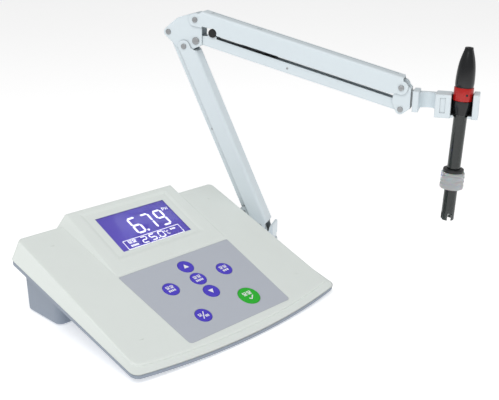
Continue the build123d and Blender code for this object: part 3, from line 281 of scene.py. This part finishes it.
def lit_panel(rgb, glow):
    """Negative liquid-crystal panel over an LED light guide: an even violet glow with a faint pixel grid, a
    shade deeper away from the lamps."""
    material, tree, shader, where = fresh("liquid_crystal_backlit")
    across = add(tree, "ShaderNodeTexWave", {"Vector": where, "Scale": 1 / (8 * MM)}, bands_direction="X")
    drift = add(tree, "ShaderNodeTexNoise", {"Vector": where, "Scale": 1 / (60 * MM), "Detail": 1.0})
    lines = spread_value(tree, across.outputs["Fac"], 0.0, 0.12)
    share = add(tree, "ShaderNodeMath", {0: lines, 1: drift.outputs["Fac"]}, operation="ADD").outputs[0]
    tone = blend_tones(tree, share, rgba(rgb, 1.06), rgba(rgb, 0.86))
    tree.links.new(tone, shader.inputs["Base Color"])
    tree.links.new(tone, shader.inputs["Emission Color"])
    set_up(shader, Emission_Strength=glow, Roughness=0.3, IOR=1.5)
    return material


def clear_pane():
    """Cast acrylic, polished: nearly invisible but for the light it mirrors, with faint wiping marks."""
    material, tree, shader, where = fresh("acrylic_cast_polished")
    wipes = add(tree, "ShaderNodeTexNoise", {"Vector": where, "Scale": 1 / (6 * MM), "Detail": 5.0})
    tree.links.new(spread_value(tree, wipes.outputs["Fac"], 0.02, 0.09), shader.inputs["Roughness"])
    tree.links.new(vary(tree, where, (0.97, 0.97, 1.0), 0.01, 30 * MM), shader.inputs["Base Color"])
    set_up(shader, Transmission_Weight=1.0, IOR=1.49)
    return material


def metal(name, rgb, rough=(0.25, 0.42), scratch=0.25, relief=0.01):
    """Turned and plated metal: a grey mirror softened by fine, crossing marks of the tool and the wrench."""
    material, tree, shader, where = fresh(name)
    long_way = add(tree, "ShaderNodeMapping", {"Vector": where, "Scale": (1.0, 1.0, 7.0)})
    marks = add(tree, "ShaderNodeTexNoise", {"Vector": long_way.outputs["Vector"],
                                             "Scale": 1 / (scratch * MM), "Detail": 5.0, "Roughness": 0.7})
    bump = add(tree, "ShaderNodeBump", {"Height": marks.outputs["Fac"], "Distance": relief * MM,
                                        "Strength": 0.4})
    tree.links.new(vary(tree, where, rgb, 0.08, 3 * MM), shader.inputs["Base Color"])
    tree.links.new(spread_value(tree, marks.outputs["Fac"], *rough), shader.inputs["Roughness"])
    tree.links.new(bump.outputs["Normal"], shader.inputs["Normal"])
    set_up(shader, Metallic=1.0)
    return material


def rubber(name, rgb, rough=(0.55, 0.8)):
    """Moulded rubber: nearly black, dull, with dust in its pores."""
    material, tree, shader, where = fresh(name)
    pores = add(tree, "ShaderNodeTexNoise", {"Vector": where, "Scale": 1 / (0.4 * MM), "Detail": 6.0,
                                             "Roughness": 0.75})
    bump = add(tree, "ShaderNodeBump", {"Height": pores.outputs["Fac"], "Distance": 0.03 * MM,
                                        "Strength": 0.5})
    tree.links.new(vary(tree, where, rgb, 0.15, 4 * MM), shader.inputs["Base Color"])
    tree.links.new(spread_value(tree, pores.outputs["Fac"], *rough), shader.inputs["Roughness"])
    tree.links.new(bump.outputs["Normal"], shader.inputs["Normal"])
    set_up(shader, IOR=1.52)
    return material


def soft_gloss(name, rgb, rough=(0.2, 0.32), pit=1.5, spread=0.08, edge=0.3):
    """Polished moulding, such as the boot, collar and key caps: saturated, with a clear but slightly wavy
    highlight."""
    material, tree, shader, where = fresh(name)
    waves = add(tree, "ShaderNodeTexNoise", {"Vector": where, "Scale": 1 / (pit * MM), "Detail": 3.0})
    eased = add(tree, "ShaderNodeBevel", {"Radius": edge * MM}, samples=6).outputs["Normal"]
    bump = add(tree, "ShaderNodeBump", {"Height": waves.outputs["Fac"], "Distance": 0.02 * MM,
                                        "Strength": 0.25, "Normal": eased})
    tree.links.new(vary(tree, where, rgb, spread, 6 * MM), shader.inputs["Base Color"])
    tree.links.new(spread_value(tree, waves.outputs["Fac"], *rough), shader.inputs["Roughness"])
    tree.links.new(bump.outputs["Normal"], shader.inputs["Normal"])
    set_up(shader, IOR=1.5)
    return material


def see_through(name, rgb, through, ior, rough=(0.03, 0.12), streak=2.0, scatter=0.0):
    """Clear or frosted plastic and glass: tinted, with drawn streaks along its length that bend what is
    behind."""
    material, tree, shader, where = fresh(name)
    streaks = add(tree, "ShaderNodeMapping", {"Vector": where, "Scale": (1.0, 1.0, 0.15)})
    drawn = add(tree, "ShaderNodeTexNoise", {"Vector": streaks.outputs["Vector"],
                                             "Scale": 1 / (streak * MM), "Detail": 3.0})
    bump = add(tree, "ShaderNodeBump", {"Height": drawn.outputs["Fac"], "Distance": 0.02 * MM,
                                        "Strength": 0.3})
    tree.links.new(vary(tree, where, rgb, 0.06, 8 * MM), shader.inputs["Base Color"])
    tree.links.new(spread_value(tree, drawn.outputs["Fac"], *rough), shader.inputs["Roughness"])
    tree.links.new(bump.outputs["Normal"], shader.inputs["Normal"])
    set_up(shader, Transmission_Weight=through, IOR=ior)
    if scatter:
        set_up(shader, Subsurface_Weight=scatter, Subsurface_Scale=2 * MM)
    return material


def solder_mask(rgb):
    """Glass-epoxy board under green lacquer: copper tracks show as a paler grid, with bare gold pads."""
    material, tree, shader, where = fresh("glass_epoxy_board")
    tracks = add(tree, "ShaderNodeTexBrick", {"Vector": where, "Scale": 1 / (10 * MM), "Mortar Size": 0.06,
                                              "Color1": rgba(rgb, 0.9), "Color2": rgba(rgb, 1.15),
                                              "Mortar": rgba(rgb, 1.9)})
    pads = add(tree, "ShaderNodeTexVoronoi", {"Vector": where, "Scale": 1 / (5 * MM)})
    bare = add(tree, "ShaderNodeMath", {0: pads.outputs["Distance"], 1: 0.12},
               operation="LESS_THAN").outputs[0]
    tone = blend_tones(tree, bare, tracks.outputs["Color"], rgba(linear("#C9A24A")))
    tree.links.new(tone, shader.inputs["Base Color"])
    tree.links.new(bare, shader.inputs["Metallic"])
    set_up(shader, Roughness=0.35)
    return material


# ---------------------------------------------------------------- pieces
def finish(node, material):
    """Gives a CAD node its material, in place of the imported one."""
    target = frame["nodes"][node]
    if not target.material_slots:
        target.data.materials.append(material)
    for place in target.material_slots:
        place.material = material


def piece(name, mesh, material, body):
    """A new mesh piece that rides on a body and takes the finish it is given."""
    thing = bpy.data.objects.new(name, mesh)
    bpy.context.scene.collection.objects.link(thing)
    mesh.materials.append(material)
    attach(thing, body)
    return thing


def middle(node):
    low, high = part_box(node)
    return (low + high) / 2


def upright_on(point, normal):
    """A frame with Z along normal and X level, pointing to the user's right where it can."""
    z = Vector(normal).normalized()
    x = Vector((0, 1, 0)).cross(z)
    if x.length < 0.2:
        x = Vector((1, 0, 0))
    x.normalize()
    turn = Matrix((x, z.cross(x), z)).transposed().to_4x4()
    return Matrix.Translation(point) @ turn


def big_face(node, towards):
    """Centre and normal of a node's flat face that looks most towards a direction."""
    towards = Vector(towards).normalized()
    faces = [face for face in frame["nodes"][node].data.polygons if face.normal.dot(towards) > 0.7]
    widest = max(faces, key=lambda face: face.area)
    level = [face for face in faces if face.normal.dot(widest.normal) > 0.9999
             and abs((face.center - widest.center).dot(widest.normal)) < 0.02 * MM]
    weight = sum(face.area for face in level)
    centre = sum((face.center * face.area for face in level), Vector()) / weight
    return centre, widest.normal.copy()


def prints(name, outlines, place, height, material, body):
    """Thin raised shapes, from outlines in a plane, as one piece."""
    mesh = bpy.data.meshes.new(name)
    shape = bmesh.new()
    for outline in outlines:
        under = [shape.verts.new(place @ Vector((x, y, 0))) for x, y in outline]
        over = [shape.verts.new(place @ Vector((x, y, height))) for x, y in outline]
        shape.faces.new(list(reversed(under)))
        shape.faces.new(over)
        for i in range(len(outline)):
            j = (i + 1) % len(outline)
            shape.faces.new((under[i], under[j], over[j], over[i]))
    bmesh.ops.recalc_face_normals(shape, faces=shape.faces)
    shape.to_mesh(mesh)
    shape.free()
    return piece(name, mesh, material, body)


def turned(name, profile, place, sides, material, body):
    """A piece turned about Z from (radius, height) points, which run round a closed section."""
    mesh = bpy.data.meshes.new(name)
    shape = bmesh.new()
    rings = []
    for radius, height in profile:
        if radius < 1e-7:
            rings.append([shape.verts.new(place @ Vector((0, 0, height)))])
        else:
            rings.append([shape.verts.new(place @ Vector((radius * cos(tau * i / sides),
                                                          radius * sin(tau * i / sides), height)))
                          for i in range(sides)])
    for first, second in zip(rings, rings[1:] + rings[:1]):
        for i in range(sides):
            j = (i + 1) % sides
            corners = [first[i % len(first)], first[j % len(first)],
                       second[j % len(second)], second[i % len(second)]]
            unique = list(dict.fromkeys(corners))
            if len(unique) > 2:
                shape.faces.new(unique)
    bmesh.ops.recalc_face_normals(shape, faces=shape.faces)
    for face in shape.faces:
        face.smooth = True
    shape.to_mesh(mesh)
    shape.free()
    mesh.set_sharp_from_angle(angle=radians(32))
    return piece(name, mesh, material, body)


def wire_piece(name, points, thickness, material, body):
    """A round wire along points, as a mesh."""
    curve = bpy.data.curves.new(name, "CURVE")
    curve.dimensions = "3D"
    curve.bevel_depth = thickness / 2
    curve.bevel_resolution = 3
    curve.use_fill_caps = True
    line = curve.splines.new("POLY")
    line.points.add(len(points) - 1)
    for place, point in zip(line.points, points):
        place.co = (*point, 1)
    holder = bpy.data.objects.new(name + "_line", curve)
    mesh = bpy.data.meshes.new_from_object(holder)
    bpy.data.objects.remove(holder)
    bpy.data.curves.remove(curve)
    for face in mesh.polygons:
        face.use_smooth = True
    mesh.name = name
    mesh.materials.clear()
    return piece(name, mesh, material, body)


# ---------------------------------------------------------------- segments and pictograms
# The lit segments of each sign: a at the top, then clockwise to f, and g across the middle.
SEGMENTS = {"0": "abcdef", "2": "abged", "5": "afgcd", "6": "afgecd", "7": "abc", "9": "abcdfg",
            "C": "afed", "P": "abfge", "H": "fbgec"}


def bar(start, end, stroke):
    """A segment with pointed ends, from one corner of its digit to another."""
    a, b = Vector(start), Vector(end)
    along = (b - a).normalized()
    side = Vector((-along.y, along.x)) * stroke / 2
    tip = along * stroke / 2
    gap = along * stroke * 0.12
    a, b = a + gap, b - gap
    return [a, a + tip - side, b - tip - side, b, b - tip + side, a + tip + side]


def digit(sign, x, y, width, height, stroke):
    """The lit segments of one digit whose lower left corner is x, y."""
    corner = {"tl": (x, y + height), "tr": (x + width, y + height), "ml": (x, y + height / 2),
              "mr": (x + width, y + height / 2), "bl": (x, y), "br": (x + width, y)}
    runs = {"a": ("tl", "tr"), "b": ("tr", "mr"), "c": ("mr", "br"), "d": ("bl", "br"), "e": ("ml", "bl"),
            "f": ("tl", "ml"), "g": ("ml", "mr")}
    return [bar(corner[runs[s][0]], corner[runs[s][1]], stroke) for s in SEGMENTS[sign]]


def rectangle(x0, y0, x1, y1):
    return [(x0, y0), (x1, y0), (x1, y1), (x0, y1)]


def outline_box(x0, y0, x1, y1, line):
    return [rectangle(x0, y0, x1, y0 + line), rectangle(x0, y1 - line, x1, y1),
            rectangle(x0, y0 + line, x0 + line, y1 - line), rectangle(x1 - line, y0 + line, x1, y1 - line)]


def disc(x, y, radius, count=20):
    return [(x + radius * cos(tau * i / count), y + radius * sin(tau * i / count)) for i in range(count)]


def little_mark(x, y, size):
    """A small pictogram block: a box over two bars."""
    line = size * 0.16
    return outline_box(x, y + size * 0.45, x + size, y + size, line) + [
        rectangle(x, y, x + size, y + line),
        rectangle(x + size * 0.15, y + size * 0.22, x + size * 0.85, y + size * 0.22 + line)]


def slanted(x0, y0, x1, y1, line):
    """A bar between two points."""
    side = Vector((-(y1 - y0), x1 - x0)).normalized() * line / 2
    return [(x0 - side.x, y0 - side.y), (x1 - side.x, y1 - side.y), (x1 + side.x, y1 + side.y),
            (x0 + side.x, y0 + side.y)]


def row_of_dashes(x0, x1, y, height, count):
    step = (x1 - x0) / count
    return [rectangle(x0 + i * step, y, x0 + (i + 0.72) * step, y + height) for i in range(count)]


def key_pictures(radius):
    """What each key carries, in its own plane with the top of the case upwards."""
    r = radius
    two_rows = little_mark(-0.52 * r, 0.06 * r, 0.46 * r) + little_mark(0.06 * r, 0.06 * r, 0.46 * r)
    return {
        "up_key": [[(-0.36 * r, -0.24 * r), (0.36 * r, -0.24 * r), (0, 0.4 * r)]],
        "down_key": [[(-0.36 * r, 0.24 * r), (0, -0.4 * r), (0.36 * r, 0.24 * r)]],
        "left_key": two_rows + row_of_dashes(-0.5 * r, 0.5 * r, -0.42 * r, 0.3 * r, 4),
        "right_key": two_rows + row_of_dashes(-0.42 * r, 0.5 * r, -0.42 * r, 0.3 * r, 3),
        "middle_key": two_rows + row_of_dashes(-0.55 * r, 0.55 * r, -0.42 * r, 0.3 * r, 5),
        "power_key": [slanted(-0.3 * r, -0.5 * r, 0.3 * r, 0.5 * r, 0.12 * r)]
        + little_mark(-0.6 * r, -0.05 * r, 0.42 * r)
        + row_of_dashes(0.12 * r, 0.62 * r, -0.4 * r, 0.34 * r, 3),
        "confirm_key": little_mark(-0.46 * r, 0.08 * r, 0.4 * r) + little_mark(0.04 * r, 0.08 * r, 0.4 * r)
        + [slanted(-0.22 * r, -0.26 * r, -0.04 * r, -0.44 * r, 0.1 * r),
           slanted(-0.06 * r, -0.46 * r, 0.34 * r, -0.08 * r, 0.1 * r)],
    }


# ---------------------------------------------------------------- operators
class BuildPiece(bpy.types.Operator):
    """Base of the operators that build one group of pieces."""
    bl_options = {"REGISTER", "UNDO"}


class PHMETER_OT_case(BuildPiece):
    """Finish the two housings, the feet and the screws that hold them together"""
    bl_idname = "phmeter.case"
    bl_label = "Case"

    def execute(self, context):
        look, arm = context.scene.case_look, context.scene.arm_look
        finish("upper_housing", moulded("abs_pale_moulded", look.upper, look.grain, look.edge))
        finish("lower_housing", moulded("abs_grey_moulded", look.lower, look.grain, look.edge))
        feet = rubber("rubber_feet", arm.rubber)
        finish("front_feet", feet)
        finish("rear_feet", feet)
        finish("case_screws", metal("steel_case_screws", arm.steel))
        return {"FINISHED"}


class PHMETER_OT_keypad(BuildPiece):
    """Finish the film and key caps, and print the pictures on the caps"""
    bl_idname = "phmeter.keypad"
    bl_label = "Keypad"

    def execute(self, context):
        look = context.scene.case_look
        finish("keypad_overlay", printed_film(look.film))
        blue = soft_gloss("abs_key_blue", look.key, rough=(0.34, 0.46), spread=0.05)
        green = soft_gloss("abs_key_green", look.confirm, rough=(0.34, 0.46), spread=0.05)
        white = ink("screen_ink_white", look.ink)
        keys = [joint["child"] for joint in frame["joints"] if joint["name"].endswith("_key_press")]
        for name in keys:
            finish(name, green if name == "confirm_key" else blue)
            outwards = -Vector(JOINTS[name + "_press"]["axis"])
            centre, normal = big_face(name, outwards)
            low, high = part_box(name)
            radius = (high.x - low.x) / 2 - KEY_FLANGE
            place = upright_on(centre + normal * INK_CLEARANCE, normal)
            prints(name + "_print", key_pictures(radius)[name], place, look.print_height, white, name)
        return {"FINISHED"}


class PHMETER_OT_display(BuildPiece):
    """Light the display, and set the segments of its two lines"""
    bl_idname = "phmeter.display"
    bl_label = "Display"

    def execute(self, context):
        look = context.scene.display_look
        finish("display_window", clear_pane())
        finish("lcd_glass", lit_panel(look.back, look.glow))
        finish("lcd_light_guide", soft_gloss("acrylic_light_guide", look.back, rough=(0.4, 0.6)))
        finish("lcd_tray", soft_gloss("abs_white_tray", (0.8, 0.8, 0.8), rough=(0.4, 0.6)))
        centre, normal = big_face("lcd_glass", (0, -0.42, 0.9))
        low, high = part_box("lcd_glass")
        hidden = 4 * MM
        left = -((high.x - low.x) - hidden) / 2
        top = 25.25 * MM
        place = upright_on(centre + normal * 2 * INK_CLEARANCE, normal)
        base = top - 11 * MM - look.digit_height
        shapes = []
        for sign, at in (("6", 32.2), ("7", 48.6), ("9", 65.2)):
            shapes += digit(sign, left + at * MM, base, look.digit_width, look.digit_height, look.stroke)
        shapes.append(disc(left + 45 * MM, base + 0.4 * MM, 1.4 * MM))
        for sign, at in (("P", 78.2), ("H", 82.2)):
            shapes += digit(sign, left + at * MM, top - 13.6 * MM, 2.4 * MM, 4.2 * MM, 0.8 * MM)
        bottom = top - 49.2 * MM
        shapes += outline_box(left + 8.2 * MM, bottom, left + 80 * MM, bottom + 12.6 * MM, 0.7 * MM)
        line = bottom + 2.6 * MM
        for sign, at in (("2", 29.0), ("5", 39.6), ("0", 50.8)):
            shapes += digit(sign, left + at * MM, line, 6.2 * MM, look.small_height, look.small_stroke)
        shapes.append(disc(left + 48.2 * MM, line + 0.2 * MM, 0.8 * MM))
        shapes += digit("C", left + 61.2 * MM, line + 1.6 * MM, 2.8 * MM, 4.4 * MM, 0.8 * MM)
        shapes += outline_box(left + 58.6 * MM, line + 5.4 * MM, left + 60.2 * MM, line + 7 * MM, 0.45 * MM)
        shapes += little_mark(left + 13.5 * MM, line + 4.6 * MM, 4 * MM)
        shapes += little_mark(left + 18.6 * MM, line + 4.6 * MM, 4 * MM)
        shapes += row_of_dashes(left + 13.5 * MM, left + 23 * MM, line, 2.4 * MM, 5)
        shapes += row_of_dashes(left + 67 * MM, left + 74 * MM, line + 5.4 * MM, 2.2 * MM, 3)
        lit = ink("lit_segments", look.digit, glow=0.9)
        prints("display_segments", shapes, place, 0.04 * MM, lit, "housing")
        return {"FINISHED"}


class PHMETER_OT_inside(BuildPiece):
    """Finish the boards, the ribbon cable and the parts on the boards"""
    bl_idname = "phmeter.inside"
    bl_label = "Inside"

    def execute(self, context):
        look, arm = context.scene.inside_look, context.scene.arm_look
        board = solder_mask(look.board)
        finish("main_board", board)
        finish("key_board", board)
        finish("board_parts", soft_gloss("epoxy_chip_black", look.black, rough=(0.5, 0.7)))
        finish("board_screws", metal("steel_board_screws", arm.steel))
        finish("snap_domes", metal("stainless_domes", arm.steel, rough=(0.15, 0.3)))
        finish("flat_cable", soft_gloss("pvc_ribbon", look.cable, rough=(0.4, 0.55)))
        return {"FINISHED"}


class PHMETER_OT_back(BuildPiece):
    """Finish the sockets and the switch on the back of the case"""
    bl_idname = "phmeter.back"
    bl_label = "Back"

    def execute(self, context):
        look = context.scene.inside_look
        nickel = metal("nickel_plated_brass", look.nickel, rough=(0.15, 0.3))
        nylon = moulded("nylon_black_moulded", look.black, 0.4 * MM, 0.3 * MM, rough=(0.4, 0.55),
                        spread=0.1)
        finish("bnc_socket", nickel)
        finish("reference_post", nickel)
        finish("reference_cap", soft_gloss("phenolic_cap_red", look.red))
        for name in ("temperature_socket", "power_jack", "switch_frame"):
            finish(name, nylon)
        finish("power_rocker", soft_gloss("nylon_rocker_black", look.black, rough=(0.25, 0.4)))
        return {"FINISHED"}


def channel_frame(lower_joint, upper_joint):
    """A frame at one pivot of a link, X along the link, Y across the arm."""
    start = Vector(JOINTS[lower_joint]["pos_m"])
    across = Vector(JOINTS[lower_joint]["axis"]).normalized()
    along = Vector(JOINTS[upper_joint]["pos_m"]) - start
    along = (along - across * along.dot(across)).normalized()
    turn = Matrix((along, across, along.cross(across))).transposed().to_4x4()
    return Matrix.Translation(start) @ turn


def balance_spring(name, place, radius, lift, start, end, anchor, wire, eye, material, body):
    """A close-wound tension spring: an eye round the pivot pin, a straight lead, the coil, and a tail
    hooked on the anchor pin."""
    turns = int((end - start) / (wire * 1.25))
    points = []
    for i in range(25):
        angle = radians(40) + tau * i / 24 * 0.94
        points.append(Vector((eye * cos(angle), 0, eye * sin(angle))))
    points.append(Vector((start * 0.35, 0, lift * 0.35)))
    points.append(Vector((start - 1 * MM, 0, lift)))
    steps = turns * 16
    for i in range(steps + 1):
        angle = tau * i / 16
        ease = min(1.0, i / 8, (steps - i) / 8)
        points.append(Vector((start + (end - start) * i / steps, radius * ease * sin(angle),
                              lift + radius * ease * cos(angle))))
    points.append(Vector((end + 2 * MM, 0, lift)))
    for i in range(9):
        angle = pi / 2 - pi * i / 8
        points.append(Vector((anchor + 1.75 * MM * cos(angle), 0, lift + 1.75 * MM * sin(angle))))
    wired = wire_piece(name, [place @ point for point in points], wire, material, body)
    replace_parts(wired, name.replace("_coil", ""))
    return wired


class PHMETER_OT_arm(BuildPiece):
    """Finish the mount, the turret and the channels of the arm, with pins, rollers and wound springs"""
    bl_idname = "phmeter.arm"
    bl_label = "Arm"

    def execute(self, context):
        look, case = context.scene.arm_look, context.scene.case_look
        # The arm moulding carries painted shade in its narrow gaps, as far as the gap setting reaches.
        white = moulded("abs_arm_moulded_painted_shade", look.moulding, 0.6 * MM, case.edge, rough=(0.36, 0.5),
                        relief=0.01, painted_shade_reach=look.gap)
        for name in ("arm_mount", "turret", "lower_arm_channel", "lower_arm_link", "elbow_bracket",
                     "upper_arm_channel", "upper_arm_link", "head_bracket", "electrode_clip"):
            finish(name, white)
        pins = metal("zinc_plated_steel", look.steel)
        for name in ("arm_mount_screws", "swivel_pin", "turret_pins", "elbow_pins", "friction_screw",
                     "head_pins", "lower_spring_pin", "upper_spring_pin"):
            finish(name, pins)
        finish("stop_rollers", rubber("rubber_rollers", look.rubber))
        drawn = metal("music_wire_drawn", look.spring, rough=(0.3, 0.45))
        balance_spring("lower_arm_spring_coil", channel_frame("lower_link_tilt", "elbow_level"), 1.6 * MM,
                       -2.5 * MM, 24 * MM, 88 * MM, 100 * MM, 0.7 * MM, 2.1 * MM, drawn, "lower_link")
        balance_spring("upper_arm_spring_coil", channel_frame("upper_link_tilt", "head_level"), 2.2 * MM,
                       2.6 * MM, 28 * MM, 90 * MM, 104 * MM, look.wire, 3.0 * MM, drawn, "upper_link")
        return {"FINISHED"}


# Sections of the turned pieces, as (radius, distance down from the top of the boot) in mm.
BOOT = [(1.7, 0.2), (3.7, 0.05), (4.2, 0.5), (4.35, 2), (5.1, 4.5), (6.0, 7.4), (7.0, 11), (7.9, 15),
        (8.6, 19.5), (9.15, 25), (9.45, 31), (9.5, 36), (9.3, 38.6), (8.9, 39.2), (8.9, 39.8), (0, 39.8),
        (0, 14), (1.7, 14)]
COLLAR = [(0, 39.8), (9.3, 39.8), (9.7, 40.0), (9.85, 40.5), (9.85, 52.5), (9.7, 53.0), (9.3, 53.2),
          (0, 53.2)]
CAP = [(0, 53.2), (8.9, 53.2), (9.4, 53.7), (9.5, 55), (9.45, 57.5), (9.1, 60), (8.5, 63), (7.95, 65.4),
       (7.7, 66.6), (7.5, 67.5), (7.1, 67.6), (6.85, 67.6), (6.85, 58.6), (0, 58.6)]
SEAL = [(SHAFT_BORE, 124.7), (9.6, 124.6), (10.3, 124.9), (10.65, 125.7), (10.65, 127.6), (10.4, 128.3),
        (SHAFT_BORE, 128.4)]


def ring_profile():
    """Section of the storage ring: a rounded top, three grooves and a rounded foot."""
    section = [(7.2, 128.5), (11.0, 128.5), (11.6, 128.8), (12.0, 129.6), (12.05, 130.6)]
    for i in range(3):
        start = 131.0 + i * 4.3
        section += [(11.5, start), (11.35, start + 0.5), (11.5, start + 1.0), (12.1, start + 1.7),
                    (12.2, start + 2.6), (12.1, start + 3.4)]
    return section + [(12.1, 144.6), (11.9, 145.4), (11.4, 145.8), (7.2, 145.8)]


class PHMETER_OT_electrode(BuildPiece):
    """Turn the boot, collar, cap, storage ring and seal, and finish the tube with its glass stem"""
    bl_idname = "phmeter.electrode"
    bl_label = "Electrode"

    def execute(self, context):
        look, arm = context.scene.electrode_look, context.scene.arm_look
        upwards = Vector(JOINTS["electrode_lift"]["axis"]).normalized()
        top = middle("electrode_collar") + upwards * COLLAR_DROP * MM
        x = Vector((1, 0, 0)) - upwards * upwards.x
        x.normalize()
        turn = Matrix((x, upwards.cross(x), upwards)).transposed().to_4x4()
        place = Matrix.Translation(top) @ turn
        black = soft_gloss("pvc_boot_black", look.boot, rough=(0.16, 0.28), spread=0.12)
        sides = look.sides

        def lathe(name, profile, material, body, node):
            mm = [(radius * MM, -drop * MM) for radius, drop in profile]
            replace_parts(turned(name, mm, place, sides, material, body), node)

        lathe("boot", BOOT, black, "electrode", "electrode_boot")
        lathe("collar", COLLAR, soft_gloss("abs_collar_red", look.collar), "electrode",
              "electrode_collar")
        lathe("cap", CAP, black, "electrode", "electrode_cap")
        smoke = see_through("polycarbonate_smoke", look.tube, 0.75, 1.58, rough=(0.02, 0.08))
        finish("electrode_shaft", smoke)
        finish("electrode_stem", see_through("borosilicate_stem", look.stem, 0.8, 1.47))
        finish("reference_element", metal("silver_wire", look.silver, rough=(0.2, 0.35)))
        frosted = see_through("polypropylene_natural", look.ring, 0.5, 1.49, rough=(0.25, 0.4), scatter=0.5)
        lathe("ring", ring_profile(), frosted, "ring", "storage_ring")
        lathe("seal", SEAL, rubber("rubber_seal", arm.rubber, rough=(0.3, 0.45)), "ring",
              "storage_seal")
        # The filling port is a hole in the collar; a thin black disc on the collar stands in for it, as
        # painted shade of the hole.
        face = place @ Matrix.Translation((0, 0, -COLLAR_DROP * MM))
        face = face @ Matrix.Rotation(FILLING_PORT_TURN, 4, "Z")
        face = face @ Matrix.Translation((9.86 * MM, 0, 0)) @ Matrix.Rotation(radians(90), 4, "Y")
        prints("filling_port", [disc(0, 0, 1.25 * MM)], face, 0.05 * MM, rubber("filling_hole_painted_shade", arm.rubber),
               "electrode")
        return {"FINISHED"}


class PHMETER_OT_studio(BuildPiece):
    """Lay the floor, hang the lights and stand the camera"""
    bl_idname = "phmeter.studio"
    bl_label = "Studio"

    def execute(self, context):
        scene, look = context.scene, context.scene.studio_look
        low, high = CAD_BOX
        mesh = bpy.data.meshes.new("floor")
        shape = bmesh.new()
        under = Matrix.Translation(((low[0] + high[0]) / 2, (low[1] + high[1]) / 2, low[2]))
        bmesh.ops.create_circle(shape, cap_ends=True, segments=64, radius=6, matrix=under)
        shape.to_mesh(mesh)
        shape.free()
        floor = bpy.data.objects.new("floor", mesh)
        scene.collection.objects.link(floor)
        material, tree, shader, where = fresh("paper_backdrop")
        tree.links.new(vary(tree, where, look.floor, 0.004, 0.5), shader.inputs["Base Color"])
        set_up(shader, Roughness=0.9, Emission_Color=(1, 1, 1, 1), Emission_Strength=look.sweep)
        mesh.materials.append(material)

        world = bpy.data.worlds.new("soft_white")
        world.use_nodes = True
        sky = world.node_tree.nodes["Background"]
        sky.inputs["Color"].default_value = (1, 1, 1, 1)
        tree = world.node_tree
        seen = add(tree, "ShaderNodeLightPath").outputs["Is Camera Ray"]
        tree.links.new(spread_value(tree, seen, look.sky, 1.0), sky.inputs["Strength"])
        scene.world = world
        scene.view_settings.view_transform = "Standard"

        aim = (Vector(low) + Vector(high)) / 2
        for name, offset, size, power in (("key_light", (-0.9, -0.5, 1.3), 1.2, look.key_power),
                                          ("fill_light", (1.3, -1.0, 0.7), 1.4, look.fill_power)):
            lamp = bpy.data.lights.new(name, "AREA")
            lamp.shape = "DISK"
            lamp.size = size
            lamp.energy = power
            holder = bpy.data.objects.new(name, lamp)
            scene.collection.objects.link(holder)
            holder.location = aim + Vector(offset)
            holder.rotation_euler = (-Vector(offset)).to_track_quat("-Z", "Y").to_euler()

        back = Vector((sin(look.azimuth) * cos(look.elevation), -cos(look.azimuth) * cos(look.elevation),
                       sin(look.elevation)))
        right = Vector((cos(look.azimuth), sin(look.azimuth), 0))
        up = back.cross(right)
        rolled = right * cos(look.roll) + up * sin(look.roll)
        turn = Matrix((rolled, back.cross(rolled), back)).transposed().to_4x4()
        camera = bpy.data.cameras.new("camera")
        camera.sensor_width = 36
        camera.lens = look.lens
        camera.clip_start = 0.02
        camera.clip_end = 30
        holder = bpy.data.objects.new("camera", camera)
        scene.collection.objects.link(holder)
        holder.matrix_world = Matrix.Translation(look.place) @ turn
        scene.camera = holder
        return {"FINISHED"}


class PHMETER_PT_panel(bpy.types.Panel):
    """Lists the pieces and their settings"""
    bl_idname = "PHMETER_PT_panel"
    bl_label = "pH meter"
    bl_space_type = "VIEW_3D"
    bl_region_type = "UI"
    bl_category = "pH meter"

    def draw(self, context):
        for operator, looks in STEPS:
            box = self.layout.box()
            box.operator(operator.bl_idname)
            for look in looks:
                settings = getattr(context.scene, look)
                for name in settings.__annotations__:
                    box.prop(settings, name)


STEPS = [
    (PHMETER_OT_case, ["case_look"]),
    (PHMETER_OT_keypad, []),
    (PHMETER_OT_display, ["display_look"]),
    (PHMETER_OT_inside, ["inside_look"]),
    (PHMETER_OT_back, []),
    (PHMETER_OT_arm, ["arm_look"]),
    (PHMETER_OT_electrode, ["electrode_look"]),
    (PHMETER_OT_studio, ["studio_look"]),
]
LOOKS = {"case_look": CaseLook, "display_look": DisplayLook, "arm_look": ArmLook,
         "electrode_look": ElectrodeLook, "inside_look": InsideLook, "studio_look": StudioLook}


def register():
    for name, group in LOOKS.items():
        bpy.utils.register_class(group)
        setattr(bpy.types.Scene, name, PointerProperty(type=group))
    for operator, _ in STEPS:
        bpy.utils.register_class(operator)
    bpy.utils.register_class(PHMETER_PT_panel)


def unregister():
    bpy.utils.unregister_class(PHMETER_PT_panel)
    for operator, _ in reversed(STEPS):
        bpy.utils.unregister_class(operator)
    for name, group in LOOKS.items():
        delattr(bpy.types.Scene, name)
        bpy.utils.unregister_class(group)


def main():
    register()
    for operator, _ in STEPS:
        section, action = operator.bl_idname.split(".")
        getattr(getattr(bpy.ops, section), action)()


if __name__ == "__main__":
    main()
